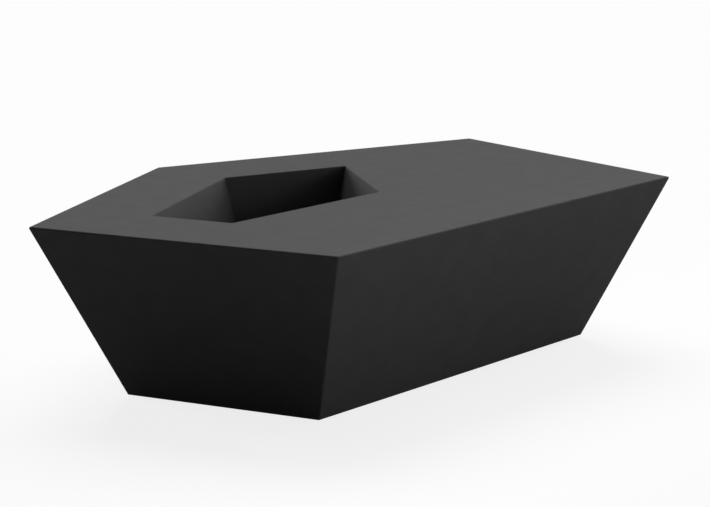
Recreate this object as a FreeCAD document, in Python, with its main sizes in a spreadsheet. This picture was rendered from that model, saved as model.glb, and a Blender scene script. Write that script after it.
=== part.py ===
import FreeCAD, Part
import math
import os
import re
import Sketcher
from FreeCAD import Placement, Rotation, Vector

# Ice bucket coffee table: one hollow rotationally moulded shell with a sunken bucket in its deck,
# a drain under the bucket, an access cover in its base and five adjustable glides.
# Row frame: X runs along the long front edge, Y to the back, Z up, and the floor is Z = 0.
# Lengths are millimetres and angles are degrees.

SIZES = {
    # deck outline, a pentagon that starts at its front left corner
    "front_edge": 1148.0,
    "left_edge": 680.0,
    "right_edge": 732.0,
    "back_left_edge": 767.0,
    "front_left_angle": 101.2,
    "front_right_angle": 107.4,
    "left_angle": 103.5,
    # moulded shell
    "shell_height": 356.0,
    "wall_draft": 23.2,
    "skin": 6.0,
    "outer_edge_radius": 3.0,
    # ice bucket, set into the deck behind four rims
    "rim_front": 381.0,
    "rim_left": 211.0,
    "rim_back_left": 194.0,
    "rim_back": 215.0,
    "bucket_front_edge": 464.0,
    "bucket_back_edge": 308.0,
    "bucket_depth": 250.0,
    "bucket_draft": 15.0,
    "bucket_corner_radius": 3.0,
    "bucket_rim_radius": 2.5,
    # underside
    "base_band": 85.0,
    "base_recess": 6.0,
    # glides and the wells they stand in
    "glide_inset": 52.0,
    "well_diameter": 50.0,
    "well_depth": 14.0,
    "well_edge_radius": 1.5,
    "pad_diameter": 42.0,
    "pad_height": 10.0,
    "pad_edge": 1.5,
    "pad_floor": 3.0,
    "socket_depth": 3.4,
    "foot_disc_diameter": 16.0,
    "foot_disc_height": 3.0,
    "neck_diameter": 12.0,
    "hex_width": 14.0,
    "hex_height": 7.2,
    "neck_gap": 0.5,
    "stop_gap": 0.3,
    "stud_diameter": 8.0,
    "stud_length": 24.0,
    "stud_chamfer": 1.0,
    "glide_insert_diameter": 14.0,
    "glide_insert_length": 28.0,
    "insert_flange": 2.0,
    "insert_flange_height": 1.5,
    "insert_groove": 0.8,
    # drain in the floor of the bucket, placed from the deck's front left corner
    "drain_along_front": 450.0,
    "drain_behind_front": 545.0,
    "sump_land": 4.0,
    "sump_depth": 6.0,
    "drain_flange_diameter": 80.0,
    "drain_flange_height": 4.0,
    "drain_flange_chamfer": 1.5,
    "drain_stem_diameter": 42.0,
    "drain_stem_length": 33.0,
    "drain_seat_diameter": 34.0,
    "drain_seat_depth": 17.0,
    "drain_bore_diameter": 27.0,
    "pipe_socket_depth": 16.0,
    "drain_gasket_height": 1.5,
    "drain_washer_diameter": 64.0,
    "drain_washer_height": 1.5,
    "locknut_diameter": 56.0,
    "locknut_height": 10.0,
    "locknut_lug": 5.0,
    "locknut_lug_width": 8.0,
    "locknut_lug_count": 8,
    "pipe_diameter": 32.0,
    "pipe_wall": 2.5,
    "pipe_chamfer": 1.0,
    "pipe_floor_gap": 7.0,
    "strainer_height": 1.2,
    "strainer_hole": 3.6,
    "strainer_inner_circle": 12.0,
    "strainer_inner_count": 6,
    "strainer_outer_circle": 23.0,
    "strainer_outer_count": 12,
    # stopper and its ring
    "stopper_cap_diameter": 46.0,
    "stopper_cap_height": 5.0,
    "stopper_cap_edge": 1.5,
    "stopper_plug_length": 12.0,
    "stopper_plug_taper": 6.0,
    "lug_width": 9.0,
    "lug_thickness": 5.0,
    "lug_wall": 2.0,
    "ring_radius": 13.0,
    "ring_wire": 3.0,
    "ring_eye": 4.2,
    "ring_lift": 0.3,
    # access cover in the base
    "access_diameter": 150.0,
    "cover_land": 20.0,
    "cover_height": 4.0,
    "cover_edge": 0.8,
    "cover_rib_height": 6.0,
    "cover_rib_width": 2.5,
    "cover_rib_inset": 9.0,
    "cover_gasket_height": 1.5,
    "cover_gap": 1.0,
    "screw_count": 6,
    "screw_diameter": 5.0,
    "screw_length": 16.0,
    "screw_head": 9.2,
    "screw_socket": 3.0,
    "screw_socket_depth": 1.6,
    "cover_insert_diameter": 8.0,
    "cover_insert_length": 12.0,
    "cover_boss_diameter": 20.0,
    "grommet_lip": 4.0,
    "grommet_wall": 5.0,
    "grommet_bead": 2.0,
    # vent plug in the base
    "vent_distance": 330.0,
    "vent_hole": 10.0,
    "vent_head": 16.0,
    "vent_head_height": 2.0,
    "vent_shank": 9.0,
    # clearances
    "fit_gap": 0.05,
    "clear_gap": 0.3,
    "hole_gap": 0.5,
}

# Places, heights and lengths that follow from the sizes above. A slope is an edge's angle from the X axis.
DERIVED = {
    "right_slope": "180 - front_right_angle",
    "back_left_slope": "front_left_angle + left_angle - 180",
    "back_slope": "atan2(back_right_y - back_y; back_right_x - back_x) / (1 deg)",
    "front_left_x": "-(front_edge + right_edge * cos(right_slope * 1 deg)"
                    " + left_edge * cos(front_left_angle * 1 deg)) / 2",
    "front_left_y": "-(left_edge * sin(front_left_angle * 1 deg)"
                    " + back_left_edge * sin(back_left_slope * 1 deg)) / 2",
    "front_right_x": "front_left_x + front_edge",
    "back_right_x": "front_right_x + right_edge * cos(right_slope * 1 deg)",
    "back_right_y": "front_left_y + right_edge * sin(right_slope * 1 deg)",
    "left_x": "front_left_x + left_edge * cos(front_left_angle * 1 deg)",
    "left_y": "front_left_y + left_edge * sin(front_left_angle * 1 deg)",
    "back_x": "left_x + back_left_edge * cos(back_left_slope * 1 deg)",
    "back_y": "left_y + back_left_edge * sin(back_left_slope * 1 deg)",
    "drain_x": "front_left_x + drain_along_front",
    "drain_y": "front_left_y + drain_behind_front",
    "glide_gap": "base_inset + glide_inset",
    "insert_flange_diameter": "glide_insert_diameter + 2 * insert_flange",
    "shell_bottom": "pad_height + neck_gap + hex_height + stop_gap - well_depth",
    "deck_level": "shell_bottom + shell_height",
    "wall_inset": "skin * tan(wall_draft * 1 deg) + skin / cos(wall_draft * 1 deg)",
    "base_inset": "shell_height * tan(wall_draft * 1 deg)",
    "bucket_skin_gap": "skin / cos(bucket_draft * 1 deg) - skin * tan(bucket_draft * 1 deg)",
    "bucket_floor": "deck_level - bucket_depth",
    "sump_diameter": "drain_flange_diameter + 2 * sump_land",
    "sump_floor": "bucket_floor - sump_depth",
    "well_roof": "shell_bottom + well_depth",
    "panel_level": "shell_bottom + base_recess",
    "rebate_depth": "cover_height + cover_gasket_height",
    "rebate_roof": "panel_level + rebate_depth",
    "cover_diameter": "access_diameter + 2 * cover_land",
    "screw_circle": "access_diameter + cover_land",
    "cover_rib_ring": "access_diameter / 2 - cover_rib_inset",
    "rebate_diameter": "cover_diameter + 2 * cover_gap",
    "flange_underside": "sump_floor + drain_gasket_height",
    "flange_top": "flange_underside + drain_flange_height",
    "stem_end": "flange_underside - drain_stem_length",
    "washer_top": "sump_floor - skin",
    "locknut_top": "washer_top - drain_washer_height",
    "strainer_seat": "flange_top - drain_seat_depth",
    "pipe_top": "stem_end + pipe_socket_depth",
    "cap_top": "flange_top + stopper_cap_height",
    "ring_level": "cap_top + ring_lift + ring_wire / 2",
    "pipe_bore": "pipe_diameter - 2 * pipe_wall",
    "grommet_hole": "pipe_diameter + 2 * grommet_wall",
}

# The deck's corners, in the order of its outline: place, inner angle, and the direction towards the middle.
CORNERS = {
    "front_left": ("front_left_x", "front_left_y", "front_left_angle", "front_left_angle / 2"),
    "front_right": ("front_right_x", "front_left_y", "front_right_angle", "180 - front_right_angle / 2"),
    "back_right": ("back_right_x", "back_right_y", "right_slope - back_slope",
                   "180 + (right_slope + back_slope) / 2"),
    "back": ("back_x", "back_y", "180 + back_slope - back_left_slope",
             "270 + (back_slope + back_left_slope) / 2"),
    "left": ("left_x", "left_y", "left_angle", "180 + front_left_angle + left_angle / 2"),
}
FRONT, RIGHT, BACK, BACK_LEFT, LEFT = range(len(CORNERS))
STRAINER_ROWS = ("strainer_inner", "strainer_outer")
DRAIN = ("drain_x", "drain_y")
VENT = ("drain_x + vent_distance", "drain_y")

# Levels closer than this are the same, and a face whose normal rises less than this is upright.
TOLERANCE = 0.01

doc = FreeCAD.newDocument("ice_bucket_coffee_table")
sheet = doc.addObject("Spreadsheet::Sheet", "sizes")
pieces = []


def fill_sheet():
    """Write every driving size into the sheet, one row each, with its name as the alias."""
    for row, (name, number) in enumerate(SIZES.items(), start=1):
        sheet.set(f"A{row}", name)
        sheet.set(f"B{row}", str(number))
        sheet.setAlias(f"B{row}", name)
    doc.recompute()


def formula(text):
    """The text with each size's name turned into its cell, derived names first."""
    names = re.compile(r"\b[a-z]+(?:_[a-z]+)*\b")
    while any(word in DERIVED for word in names.findall(text)):
        text = names.sub(lambda m: f"({DERIVED[m[0]]})" if m[0] in DERIVED else m[0], text)
    return names.sub(lambda m: f"<<sizes>>.{m[0]}" if m[0] in SIZES else m[0], text)


def size(text):
    """The present value of a size or of a formula of sizes, as a plain number."""
    found = sheet.evalExpression(formula(text))
    return float(getattr(found, "Value", found))


def bind(item, prop, text):
    """Tie a property of an object to the sheet."""
    item.setExpression(prop, formula(text))


# Sketches

def origin_plane(body, role):
    """One of a body's own origin planes or axes, found by its role."""
    return next(f for f in body.Origin.OriginFeatures if f.Role == role)


def new_sketch(body, name, level="0", role="XY_Plane"):
    """A sketch on one of the body's origin planes, raised to a level along the plane's normal."""
    sketch = body.newObject("Sketcher::SketchObject", name)
    sketch.AttachmentSupport = (origin_plane(body, role), [""])
    sketch.MapMode = "FlatFace"
    bind(sketch, ".AttachmentOffset.Base.z", level)
    return sketch


def constrain(sketch, kind, *where, text):
    """Add a dimension to a sketch and tie it to the sheet."""
    start = math.radians(size(text)) if kind == "Angle" else size(text)
    number = sketch.addConstraint(Sketcher.Constraint(kind, *where, start))
    bind(sketch, f"Constraints[{number}]", f"({text}) * 1 deg" if kind == "Angle" else text)


def add_loop(sketch, points, construction=False):
    """A closed chain of lines through the points. Gives the number of its first line."""
    first = sketch.GeometryCount
    count = len(points)
    for i, start in enumerate(points):
        sketch.addGeometry(Part.LineSegment(start, points[(i + 1) % count]), construction)
    for i in range(count):
        sketch.addConstraint(Sketcher.Constraint("Coincident", first + i, 2, first + (i + 1) % count, 1))
    return first


def pin_point(sketch, line, x_text, y_text):
    """Fix the start of a line at a place that the sheet gives."""
    for kind, text, axis in (("DistanceX", x_text, -2), ("DistanceY", y_text, -1)):
        if text == "0":
            sketch.addConstraint(Sketcher.Constraint("PointOnObject", line, 1, axis))
        else:
            constrain(sketch, kind, -1, 1, line, 1, text=text)


def add_shape(sketch, corners):
    """A closed outline whose corners are pairs of formulas."""
    first = add_loop(sketch, [Vector(size(x), size(y), 0) for x, y in corners])
    for i, (x, y) in enumerate(corners):
        pin_point(sketch, first + i, x, y)
    return first


def add_circle(sketch, diameter, spot=("0", "0")):
    """A circle at a spot."""
    number = sketch.addGeometry(Part.Circle(point(spot), Vector(0, 0, 1), size(diameter) / 2), False)
    constrain(sketch, "Diameter", number, text=diameter)
    for kind, text, axis in (("DistanceX", spot[0], -2), ("DistanceY", spot[1], -1)):
        if text == "0":
            sketch.addConstraint(Sketcher.Constraint("PointOnObject", number, 3, axis))
        else:
            constrain(sketch, kind, -1, 1, number, 3, text=text)


# Plan of the table. A spot is a pair of formulas, for X and for Y.

def point(spot):
    """The present place of a spot."""
    return Vector(size(spot[0]), size(spot[1]), 0)


def beside(spot, distance, angle):
    """The spot at a distance from another, at an angle from the X axis."""
    x, y = spot
    return f"{x} + ({distance}) * cos(({angle}) * 1 deg)", f"{y} + ({distance}) * sin(({angle}) * 1 deg)"


def glide_spots():
    """Each glide's spot, at the same gap from the two deck edges that meet at its corner."""
    return {name: beside((x, y), f"glide_gap / sin(({inner}) / 2 * 1 deg)", inward)
            for name, (x, y, inner, inward) in CORNERS.items()}


def screw_spots():
    """The cover screws' spots, evenly spaced round the drain."""
    count = int(size("screw_count"))
    return [beside(DRAIN, "screw_circle / 2", f"360 * {i} / screw_count") for i in range(count)]


def deck_corners():
    """The deck's five corners."""
    return [point(corner[:2]) for corner in CORNERS.values()]


def inset_corners(corners, gaps):
    """The corners of a pentagon whose edges lie inside the given one's by the gaps."""
    lines = []
    for i, corner in enumerate(corners):
        along = (corners[(i + 1) % len(corners)] - corner).normalize()
        inward = Vector(-along.y, along.x, 0)
        lines.append((corner + inward * gaps[i], along))
    found = []
    for i in range(len(corners)):
        (p, u), (q, v) = lines[i - 1], lines[i]
        step = ((q.x - p.x) * v.y - (q.y - p.y) * v.x) / (u.x * v.y - u.y * v.x)
        found.append(p + u * step)
    return found


def bucket_corners():
    """The five corners of the bucket's mouth, in the deck's order."""
    rims = [size(name) for name in ("rim_front", "rim_front", "rim_back", "rim_back_left", "rim_left")]
    outer = deck_corners()
    inner = inset_corners(outer, rims)
    front_left, back, left = inner[0], inner[3], inner[4]
    front_right = front_left + Vector(size("bucket_front_edge"), 0, 0)
    back_right = back + (outer[2] - outer[3]).normalize() * size("bucket_back_edge")
    return [front_left, front_right, back_right, back, left]


def add_deck(sketch, construction=True):
    """The deck's outline, set by four edges and three corner angles."""
    first = add_loop(sketch, deck_corners(), construction)
    pin_point(sketch, first, "front_left_x", "front_left_y")
    sketch.addConstraint(Sketcher.Constraint("Horizontal", first + FRONT))
    edges = {FRONT: "front_edge", RIGHT: "right_edge", BACK_LEFT: "back_left_edge", LEFT: "left_edge"}
    for line, name in edges.items():
        constrain(sketch, "Distance", first + line, text=name)
    corners = {(FRONT, LEFT): "front_left_angle", (RIGHT, FRONT): "front_right_angle",
               (LEFT, BACK_LEFT): "left_angle"}
    for (line, before), name in corners.items():
        constrain(sketch, "Angle", first + line, 1, first + before, 2, text=name)
    return first


def add_inset(sketch, base, base_corners, text, construction=False):
    """A pentagon inside the one whose lines start at base, at the same distance from every edge."""
    first = add_loop(sketch, inset_corners(base_corners, [size(text)] * len(base_corners)), construction)
    for i in range(len(base_corners)):
        sketch.addConstraint(Sketcher.Constraint("Parallel", first + i, base + i))
        constrain(sketch, "Distance", first + i, 1, base + i, text=f"abs({text})")
    return first


def add_bucket(sketch, construction=False):
    """The bucket's mouth: four edges parallel to the deck's, and a fifth that closes it."""
    deck = add_deck(sketch)
    first = add_loop(sketch, bucket_corners(), construction)
    rims = {FRONT: "rim_front", BACK: "rim_back", BACK_LEFT: "rim_back_left", LEFT: "rim_left"}
    for line, name in rims.items():
        sketch.addConstraint(Sketcher.Constraint("Parallel", first + line, deck + line))
        constrain(sketch, "Distance", first + line, 1, deck + line, text=name)
    constrain(sketch, "Distance", first + FRONT, text="bucket_front_edge")
    constrain(sketch, "Distance", first + BACK, text="bucket_back_edge")
    return first


# Features

def new_body(name):
    """A body of its own, whose label names its file."""
    body = doc.addObject("PartDesign::Body", name)
    body.Label = name
    return body


def keep(item):
    """List an object as a sub-part to hand over."""
    pieces.append(item)
    return item


def add_feature(body, kind, name, sketch, **texts):
    """A sketched feature whose lengths are tied to the sheet."""
    feature = body.newObject(f"PartDesign::{kind}", name)
    feature.Profile = (sketch, [""])
    for prop, text in texts.items():
        bind(feature, prop, text)
    return feature


def pad(body, name, sketch, length, down=False):
    """Raise a sketch into a solid."""
    feature = add_feature(body, "Pad", name, sketch, Length=length)
    feature.Reversed = down
    doc.recompute()
    return feature


def checked_cut(body, feature):
    """Recompute with a cutting feature, and stop if it removes nothing."""
    before = feature.BaseFeature.Shape.Volume
    doc.recompute()
    if body.Shape.Volume >= before:
        raise RuntimeError(f"{feature.Name} removes nothing")
    return feature


def cut(body, name, sketch, depth, upward=False):
    """Cut a sketch out of the body."""
    feature = add_feature(body, "Pocket", name, sketch, Length=depth)
    feature.Reversed = upward
    return checked_cut(body, feature)


def revolve(body, name, sketch):
    """Turn a profile once round the sketch's vertical axis."""
    feature = add_feature(body, "Revolution", name, sketch)
    feature.ReferenceAxis = (sketch, ["V_Axis"])
    feature.Angle = 360.0
    doc.recompute()
    return feature


def polar(body, name, originals, count):
    """Repeat features round the body's own Z axis."""
    pattern = body.newObject("PartDesign::PolarPattern", name)
    pattern.Originals = originals
    pattern.Axis = (origin_plane(body, "Z_Axis"), [""])
    pattern.Angle = 360.0
    bind(pattern, "Occurrences", count)
    body.Tip = pattern
    doc.recompute()
    return pattern


def faces_where(feature, test):
    """Names of the faces of a feature that pass a test."""
    return [f"Face{i}" for i, face in enumerate(feature.Shape.Faces, start=1) if test(face)]


def edges_where(feature, test):
    """Names of the edges of a feature that pass a test."""
    return [f"Edge{i}" for i, edge in enumerate(feature.Shape.Edges, start=1) if test(edge)]


def is_upright(face):
    """Whether a flat face stands upright."""
    return face.Surface.TypeId == "Part::GeomPlane" and abs(face.normalAt(0, 0).z) < TOLERANCE


def same(a, b):
    """Whether two lengths agree."""
    return abs(a - b) < TOLERANCE


def spans(item, low, high):
    """Whether a face or an edge reaches from the one level to the other."""
    return same(item.BoundBox.ZMin, size(low)) and same(item.BoundBox.ZMax, size(high))


def lean(body, name, base, faces, level, angle, grows):
    """Lean upright faces about a level. grows says whether the solid has to grow or to shrink by it."""
    feature = body.newObject("PartDesign::Draft", name)
    feature.Base = (base, faces)
    feature.NeutralPlane = (base, faces_where(base, lambda f: spans(f, level, level))[:1])
    bind(feature, "Angle", f"{angle} * 1 deg")
    doc.recompute()
    if (feature.Shape.Volume > base.Shape.Volume) != grows:
        feature.Reversed = not feature.Reversed
        doc.recompute()
    return feature


def round_edges(body, name, base, edges, radius):
    """Round the named edges."""
    feature = body.newObject("PartDesign::Fillet", name)
    feature.Base = (base, edges)
    bind(feature, "Radius", radius)
    doc.recompute()
    return feature


def is_circle(edge, diameter, level):
    """Whether an edge is a whole circle of that diameter at that level."""
    width = edge.BoundBox.XLength
    depth = edge.BoundBox.YLength
    return same(width, size(diameter)) and same(depth, size(diameter)) and spans(edge, level, level)


def place(item, spot, level):
    """Tie a piece's place in the plan and its height to the sheet."""
    item.Placement = Placement(point(spot) + Vector(0, 0, size(level)), Rotation())
    for axis, text in zip("xyz", (*spot, level)):
        bind(item, f"Placement.Base.{axis}", text)


# Moulded shell

def round_cut(body, name, spots, diameter, level, depth):
    """Cut a round hole upwards at each spot, from a level."""
    outline = new_sketch(body, f"{name}_outline", level)
    for spot in spots:
        add_circle(outline, diameter, spot)
    return cut(body, name, outline, depth, upward=True)


def tapered_block(body, level, height, edge_gap=None):
    """The deck's pentagon, or one inset from it, padded down and closed in by the walls' draft."""
    outline = new_sketch(body, "outline", level)
    if edge_gap:
        add_inset(outline, add_deck(outline), deck_corners(), edge_gap)
    else:
        add_deck(outline, construction=False)
    block = pad(body, "block", outline, height, down=True)
    return lean(body, "walls", block, faces_where(block, is_upright), level, "wall_draft", grows=False)


def sunken_bucket(body, level, edge_gap=None):
    """Cut the bucket, or the space that its skin takes, and lean its walls."""
    outline = new_sketch(body, "bucket_outline", level)
    if edge_gap:
        mouth = add_bucket(outline, construction=True)
        add_inset(outline, mouth, bucket_corners(), edge_gap)
    else:
        add_bucket(outline)
    bucket = cut(body, "bucket", outline, "bucket_depth")
    walls = faces_where(bucket, is_upright)
    return lean(body, "bucket_walls", bucket, walls, level, "bucket_draft", grows=True)


def sunken_panel(body, level, edge_gap):
    """Raise the middle of the base above the band that runs round it."""
    outline = new_sketch(body, "panel_outline", level)
    add_inset(outline, add_deck(outline), deck_corners(), edge_gap)
    cut(body, "panel", outline, "base_recess", upward=True)


def round_bucket(body, base):
    """Round the corners and the floor of the bucket, and then its rim."""
    floor = size("bucket_floor")
    low_edges = edges_where(base, lambda e: same(e.BoundBox.ZMin, floor))
    rounded = round_edges(body, "bucket_rounding", base, low_edges, "bucket_corner_radius")
    deck = next(f for f in rounded.Shape.Faces if spans(f, "deck_level", "deck_level"))
    outside = deck.OuterWire.Edges
    rim = [e for wire in deck.Wires for e in wire.Edges if not any(e.isSame(o) for o in outside)]
    rim_edges = edges_where(rounded, lambda e: any(e.isSame(r) for r in rim))
    round_edges(body, "rim_rounding", rounded, rim_edges, "bucket_rim_radius")


def shell_outside():
    """The shell's outer form, with every hole that goes through its skin."""
    body = new_body("shell_outside")
    walls = tapered_block(body, "deck_level", "shell_height")
    round_edges(body, "outer_rounding", walls, edges_where(walls, lambda e: True), "outer_edge_radius")
    round_bucket(body, sunken_bucket(body, "deck_level"))
    drain, screws, glides_at = [DRAIN], screw_spots(), list(glide_spots().values())
    round_cut(body, "sump", drain, "sump_diameter", "sump_floor", "sump_depth")
    round_cut(body, "drain_hole", drain, "drain_stem_diameter + hole_gap", "sump_floor - skin", "skin")
    sunken_panel(body, "shell_bottom", "base_inset + base_band")
    round_cut(body, "rebate", drain, "rebate_diameter", "panel_level", "rebate_depth")
    round_cut(body, "access", drain, "access_diameter", "rebate_roof", "skin")
    round_cut(body, "cover_insert_holes", screws, "cover_insert_diameter + 2 * fit_gap", "rebate_roof",
              "cover_insert_length")
    round_cut(body, "vent", [VENT], "vent_hole", "panel_level", "skin")
    wells = round_cut(body, "wells", glides_at, "well_diameter", "shell_bottom", "well_depth")
    mouths = edges_where(wells, lambda e: is_circle(e, "well_diameter", "shell_bottom"))
    round_edges(body, "well_rounding", wells, mouths, "well_edge_radius")
    round_cut(body, "insert_flange_seats", glides_at, "insert_flange_diameter + 2 * fit_gap", "well_roof",
              "insert_flange_height")
    round_cut(body, "insert_holes", glides_at, "glide_insert_diameter + 2 * fit_gap", "well_roof",
              "glide_insert_length")
    return body


def shell_hollow():
    """The closed space inside the shell, one skin away from everything outside it."""
    body = new_body("shell_hollow")
    floor = "shell_bottom + skin"
    tapered_block(body, "deck_level - skin", "shell_height - 2 * skin", "wall_inset")
    sunken_bucket(body, "deck_level - skin", "-(bucket_skin_gap)")
    sunken_panel(body, floor, "base_inset + base_band - skin")
    drain, screws, glides_at = [DRAIN], screw_spots(), list(glide_spots().values())
    round_cut(body, "sump_bulge", drain, "sump_diameter + 2 * skin", "sump_floor - skin", "sump_depth")
    round_cut(body, "rebate_bulge", drain, "rebate_diameter + 2 * skin", floor, "base_recess + rebate_depth")
    round_cut(body, "cover_bosses", screws, "cover_boss_diameter", "rebate_roof",
              "cover_insert_length + skin")
    round_cut(body, "well_bulges", glides_at, "well_diameter + 2 * skin", floor, "well_depth")
    round_cut(body, "glide_bosses", glides_at, "insert_flange_diameter + 2 * skin", floor,
              "well_depth + glide_insert_length")
    return body


def table_shell():
    """The moulding itself: the outer form with the hollow taken out."""
    shell = doc.addObject("Part::Cut", "table_shell")
    shell.Label = "table_shell"
    shell.Base = shell_outside()
    shell.Tool = shell_hollow()
    doc.recompute()
    return keep(shell)


# Turned pieces

def turned_body(name, profile):
    """A body turned from a profile of radius and height pairs."""
    body = new_body(name)
    sketch = new_sketch(body, "profile", role="XZ_Plane")
    add_shape(sketch, profile)
    revolve(body, "turning", sketch)
    return body


def turned_piece(name, profile, spot, level):
    """A turned body, put in its place and kept."""
    body = turned_body(name, profile)
    place(body, spot, level)
    return keep(body)


def hexagon(sketch, width):
    """A regular hexagon of that width over its flats."""
    corner = f"{width} / sqrt(3)"
    add_shape(sketch, [(f"{corner} * cos({60 * i} * 1 deg)",
                        f"{corner} * sin({60 * i} * 1 deg)" if i % 3 else "0") for i in range(6)])


def group_of(label, model, spots, level):
    """One node that holds a copy of the model's solid at each spot."""
    copies = []
    for spot in spots:
        solid = model.Shape.copy()
        solid.translate(point(spot))
        copies.append(solid)
    group = doc.addObject("Part::Feature", label)
    group.Label = label
    group.Shape = Part.makeCompound(copies)
    group.Placement = Placement(Vector(0, 0, size(level)), Rotation())
    return keep(group)


def grooved_insert(radius, bore, length, groove):
    """The profile of a plain insert with a groove round its waist, which locks it in the moulding."""
    low, high = f"{length} * 0.4", f"{length} * 0.6"
    return [(bore, "0"), (radius, "0"), (radius, low), (f"{radius} - {groove}", low),
            (f"{radius} - {groove}", high), (radius, high), (radius, length), (bore, length)]


# Glides

def glide_inserts():
    """Flanged brass inserts with a closed end, moulded into the roofs of the glide wells."""
    radius, bore = "glide_insert_diameter / 2", "stud_diameter / 2 + clear_gap / 2"
    length, flange = "glide_insert_length", "insert_flange_height"
    rim = "insert_flange_diameter / 2"
    body = grooved_insert(radius, bore, length, "insert_groove")
    inner, outer = body[:1], body[2:-1]
    closed_end = [("0", length), ("0", f"{length} - insert_flange"), (bore, f"{length} - insert_flange")]
    model = turned_body("glide_insert_model", inner + [(rim, "0"), (rim, flange), (radius, flange)]
                        + outer + closed_end)
    group_of("glide_inserts", model, glide_spots().values(), "well_roof")


def glide_pad(name, spot):
    """A moulded pad with a snap socket that holds the foot of its stem."""
    socket, throat = "foot_disc_diameter / 2 + clear_gap", "neck_diameter / 2 + clear_gap"
    roof, rim = "pad_floor + socket_depth", "pad_diameter / 2"
    return turned_piece(name, [
        ("0", "0"), (f"{rim} - pad_edge", "0"), (rim, "pad_edge"), (rim, "pad_height - 2 * pad_edge"),
        (f"{rim} - 3 * pad_edge", "pad_height"), (throat, "pad_height"), (throat, roof), (socket, roof),
        (socket, "pad_floor"), ("0", "pad_floor")], spot, "0")


def glide_stem(name, spot):
    """A steel stem: a disc held in the pad, a neck, a hexagon for the spanner and a stud."""
    disc, neck, stud = "foot_disc_diameter / 2", "neck_diameter / 2", "stud_diameter / 2"
    disc_top, hex_base = "pad_floor + foot_disc_height", "pad_height + neck_gap"
    tip = f"{hex_base} + hex_height + stud_length"
    body = turned_piece(name, [
        ("0", "pad_floor"), (disc, "pad_floor"), (disc, disc_top), (neck, disc_top), (neck, hex_base),
        (stud, hex_base), (stud, f"{tip} - stud_chamfer"), (f"{stud} - stud_chamfer", tip), ("0", tip)],
        spot, "0")
    spanner = new_sketch(body, "spanner_outline", hex_base)
    hexagon(spanner, "hex_width")
    pad(body, "hexagon", spanner, "hex_height")
    return body


def glides():
    """Five pads and five stems, one of each at every corner of the base."""
    for name, spot in glide_spots().items():
        glide_pad(f"glide_pad_{name}", spot)
        glide_stem(f"glide_stem_{name}", spot)


# Drain

def drain_body():
    """The flanged drain fitting: a tapered mouth, a shelf for the strainer and a socket for the pipe."""
    flange, stem = "drain_flange_diameter / 2", "drain_stem_diameter / 2"
    seat, bore = "drain_seat_diameter / 2", "drain_bore_diameter / 2"
    socket, top = "pipe_diameter / 2 + fit_gap", "drain_flange_height"
    shelf, stop = f"{top} - drain_seat_depth", "pipe_socket_depth - drain_stem_length"
    return turned_piece("drain_body", [
        (stem, "0"), (flange, "0"), (flange, f"{top} - drain_flange_chamfer"),
        (f"{flange} - drain_flange_chamfer", top), (seat, top), (seat, shelf), (bore, shelf), (bore, stop),
        (socket, stop), (socket, "-drain_stem_length"), (stem, "-drain_stem_length")],
        DRAIN, "flange_underside")


def flat_ring(name, inner, outer, height, level):
    """A plain flat ring about the drain, such as a gasket or a washer."""
    return turned_piece(name, [(inner, "0"), (outer, "0"), (outer, height), (inner, height)], DRAIN, level)


def drain_seals():
    """The gasket under the flange and the washer over the locknut."""
    bore = "drain_stem_diameter / 2 + clear_gap"
    rim = "drain_flange_diameter / 2 - clear_gap"
    flat_ring("drain_gasket", bore, rim, "drain_gasket_height", "sump_floor")
    flat_ring("drain_washer", bore, "drain_washer_diameter / 2", "drain_washer_height", "locknut_top")


def drain_locknut():
    """The lugged nut that clamps the fitting against the underside of the bucket."""
    outer, half = "locknut_diameter / 2", "locknut_lug_width / 2"
    near, far = f"{outer} - locknut_lug / 2", f"{outer} + locknut_lug"
    body = flat_ring("drain_locknut", "drain_stem_diameter / 2 + clear_gap / 2", outer, "locknut_height",
                     "locknut_top - locknut_height")
    outline = new_sketch(body, "lug_outline")
    add_shape(outline, [(near, f"-{half}"), (far, f"-{half}"), (far, half), (near, half)])
    polar(body, "lugs", [pad(body, "lug", outline, "locknut_height")], "locknut_lug_count")


def strainer():
    """A perforated disc that lies on the shelf inside the drain."""
    radius, height = "drain_seat_diameter / 2 - clear_gap", "strainer_height"
    body = turned_piece("strainer", [("0", "0"), (radius, "0"), (radius, height), ("0", height)],
                        DRAIN, "strainer_seat")
    round_cut(body, "middle_hole", [("0", "0")], "strainer_hole", "0", height)
    for row in STRAINER_ROWS:
        hole = round_cut(body, f"{row}_hole", [(f"{row}_circle / 2", "0")], "strainer_hole", "0", height)
        polar(body, f"{row}_holes", [hole], f"{row}_count")


def tail_pipe():
    """The pipe from the drain down through the access cover."""
    inner, outer, length = "pipe_bore / 2", "pipe_diameter / 2", "pipe_top - pipe_floor_gap"
    return turned_piece("tail_pipe", [
        (inner, "0"), (f"{outer} - pipe_chamfer", "0"), (outer, "pipe_chamfer"), (outer, length),
        (inner, length)], DRAIN, "pipe_floor_gap")


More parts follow.
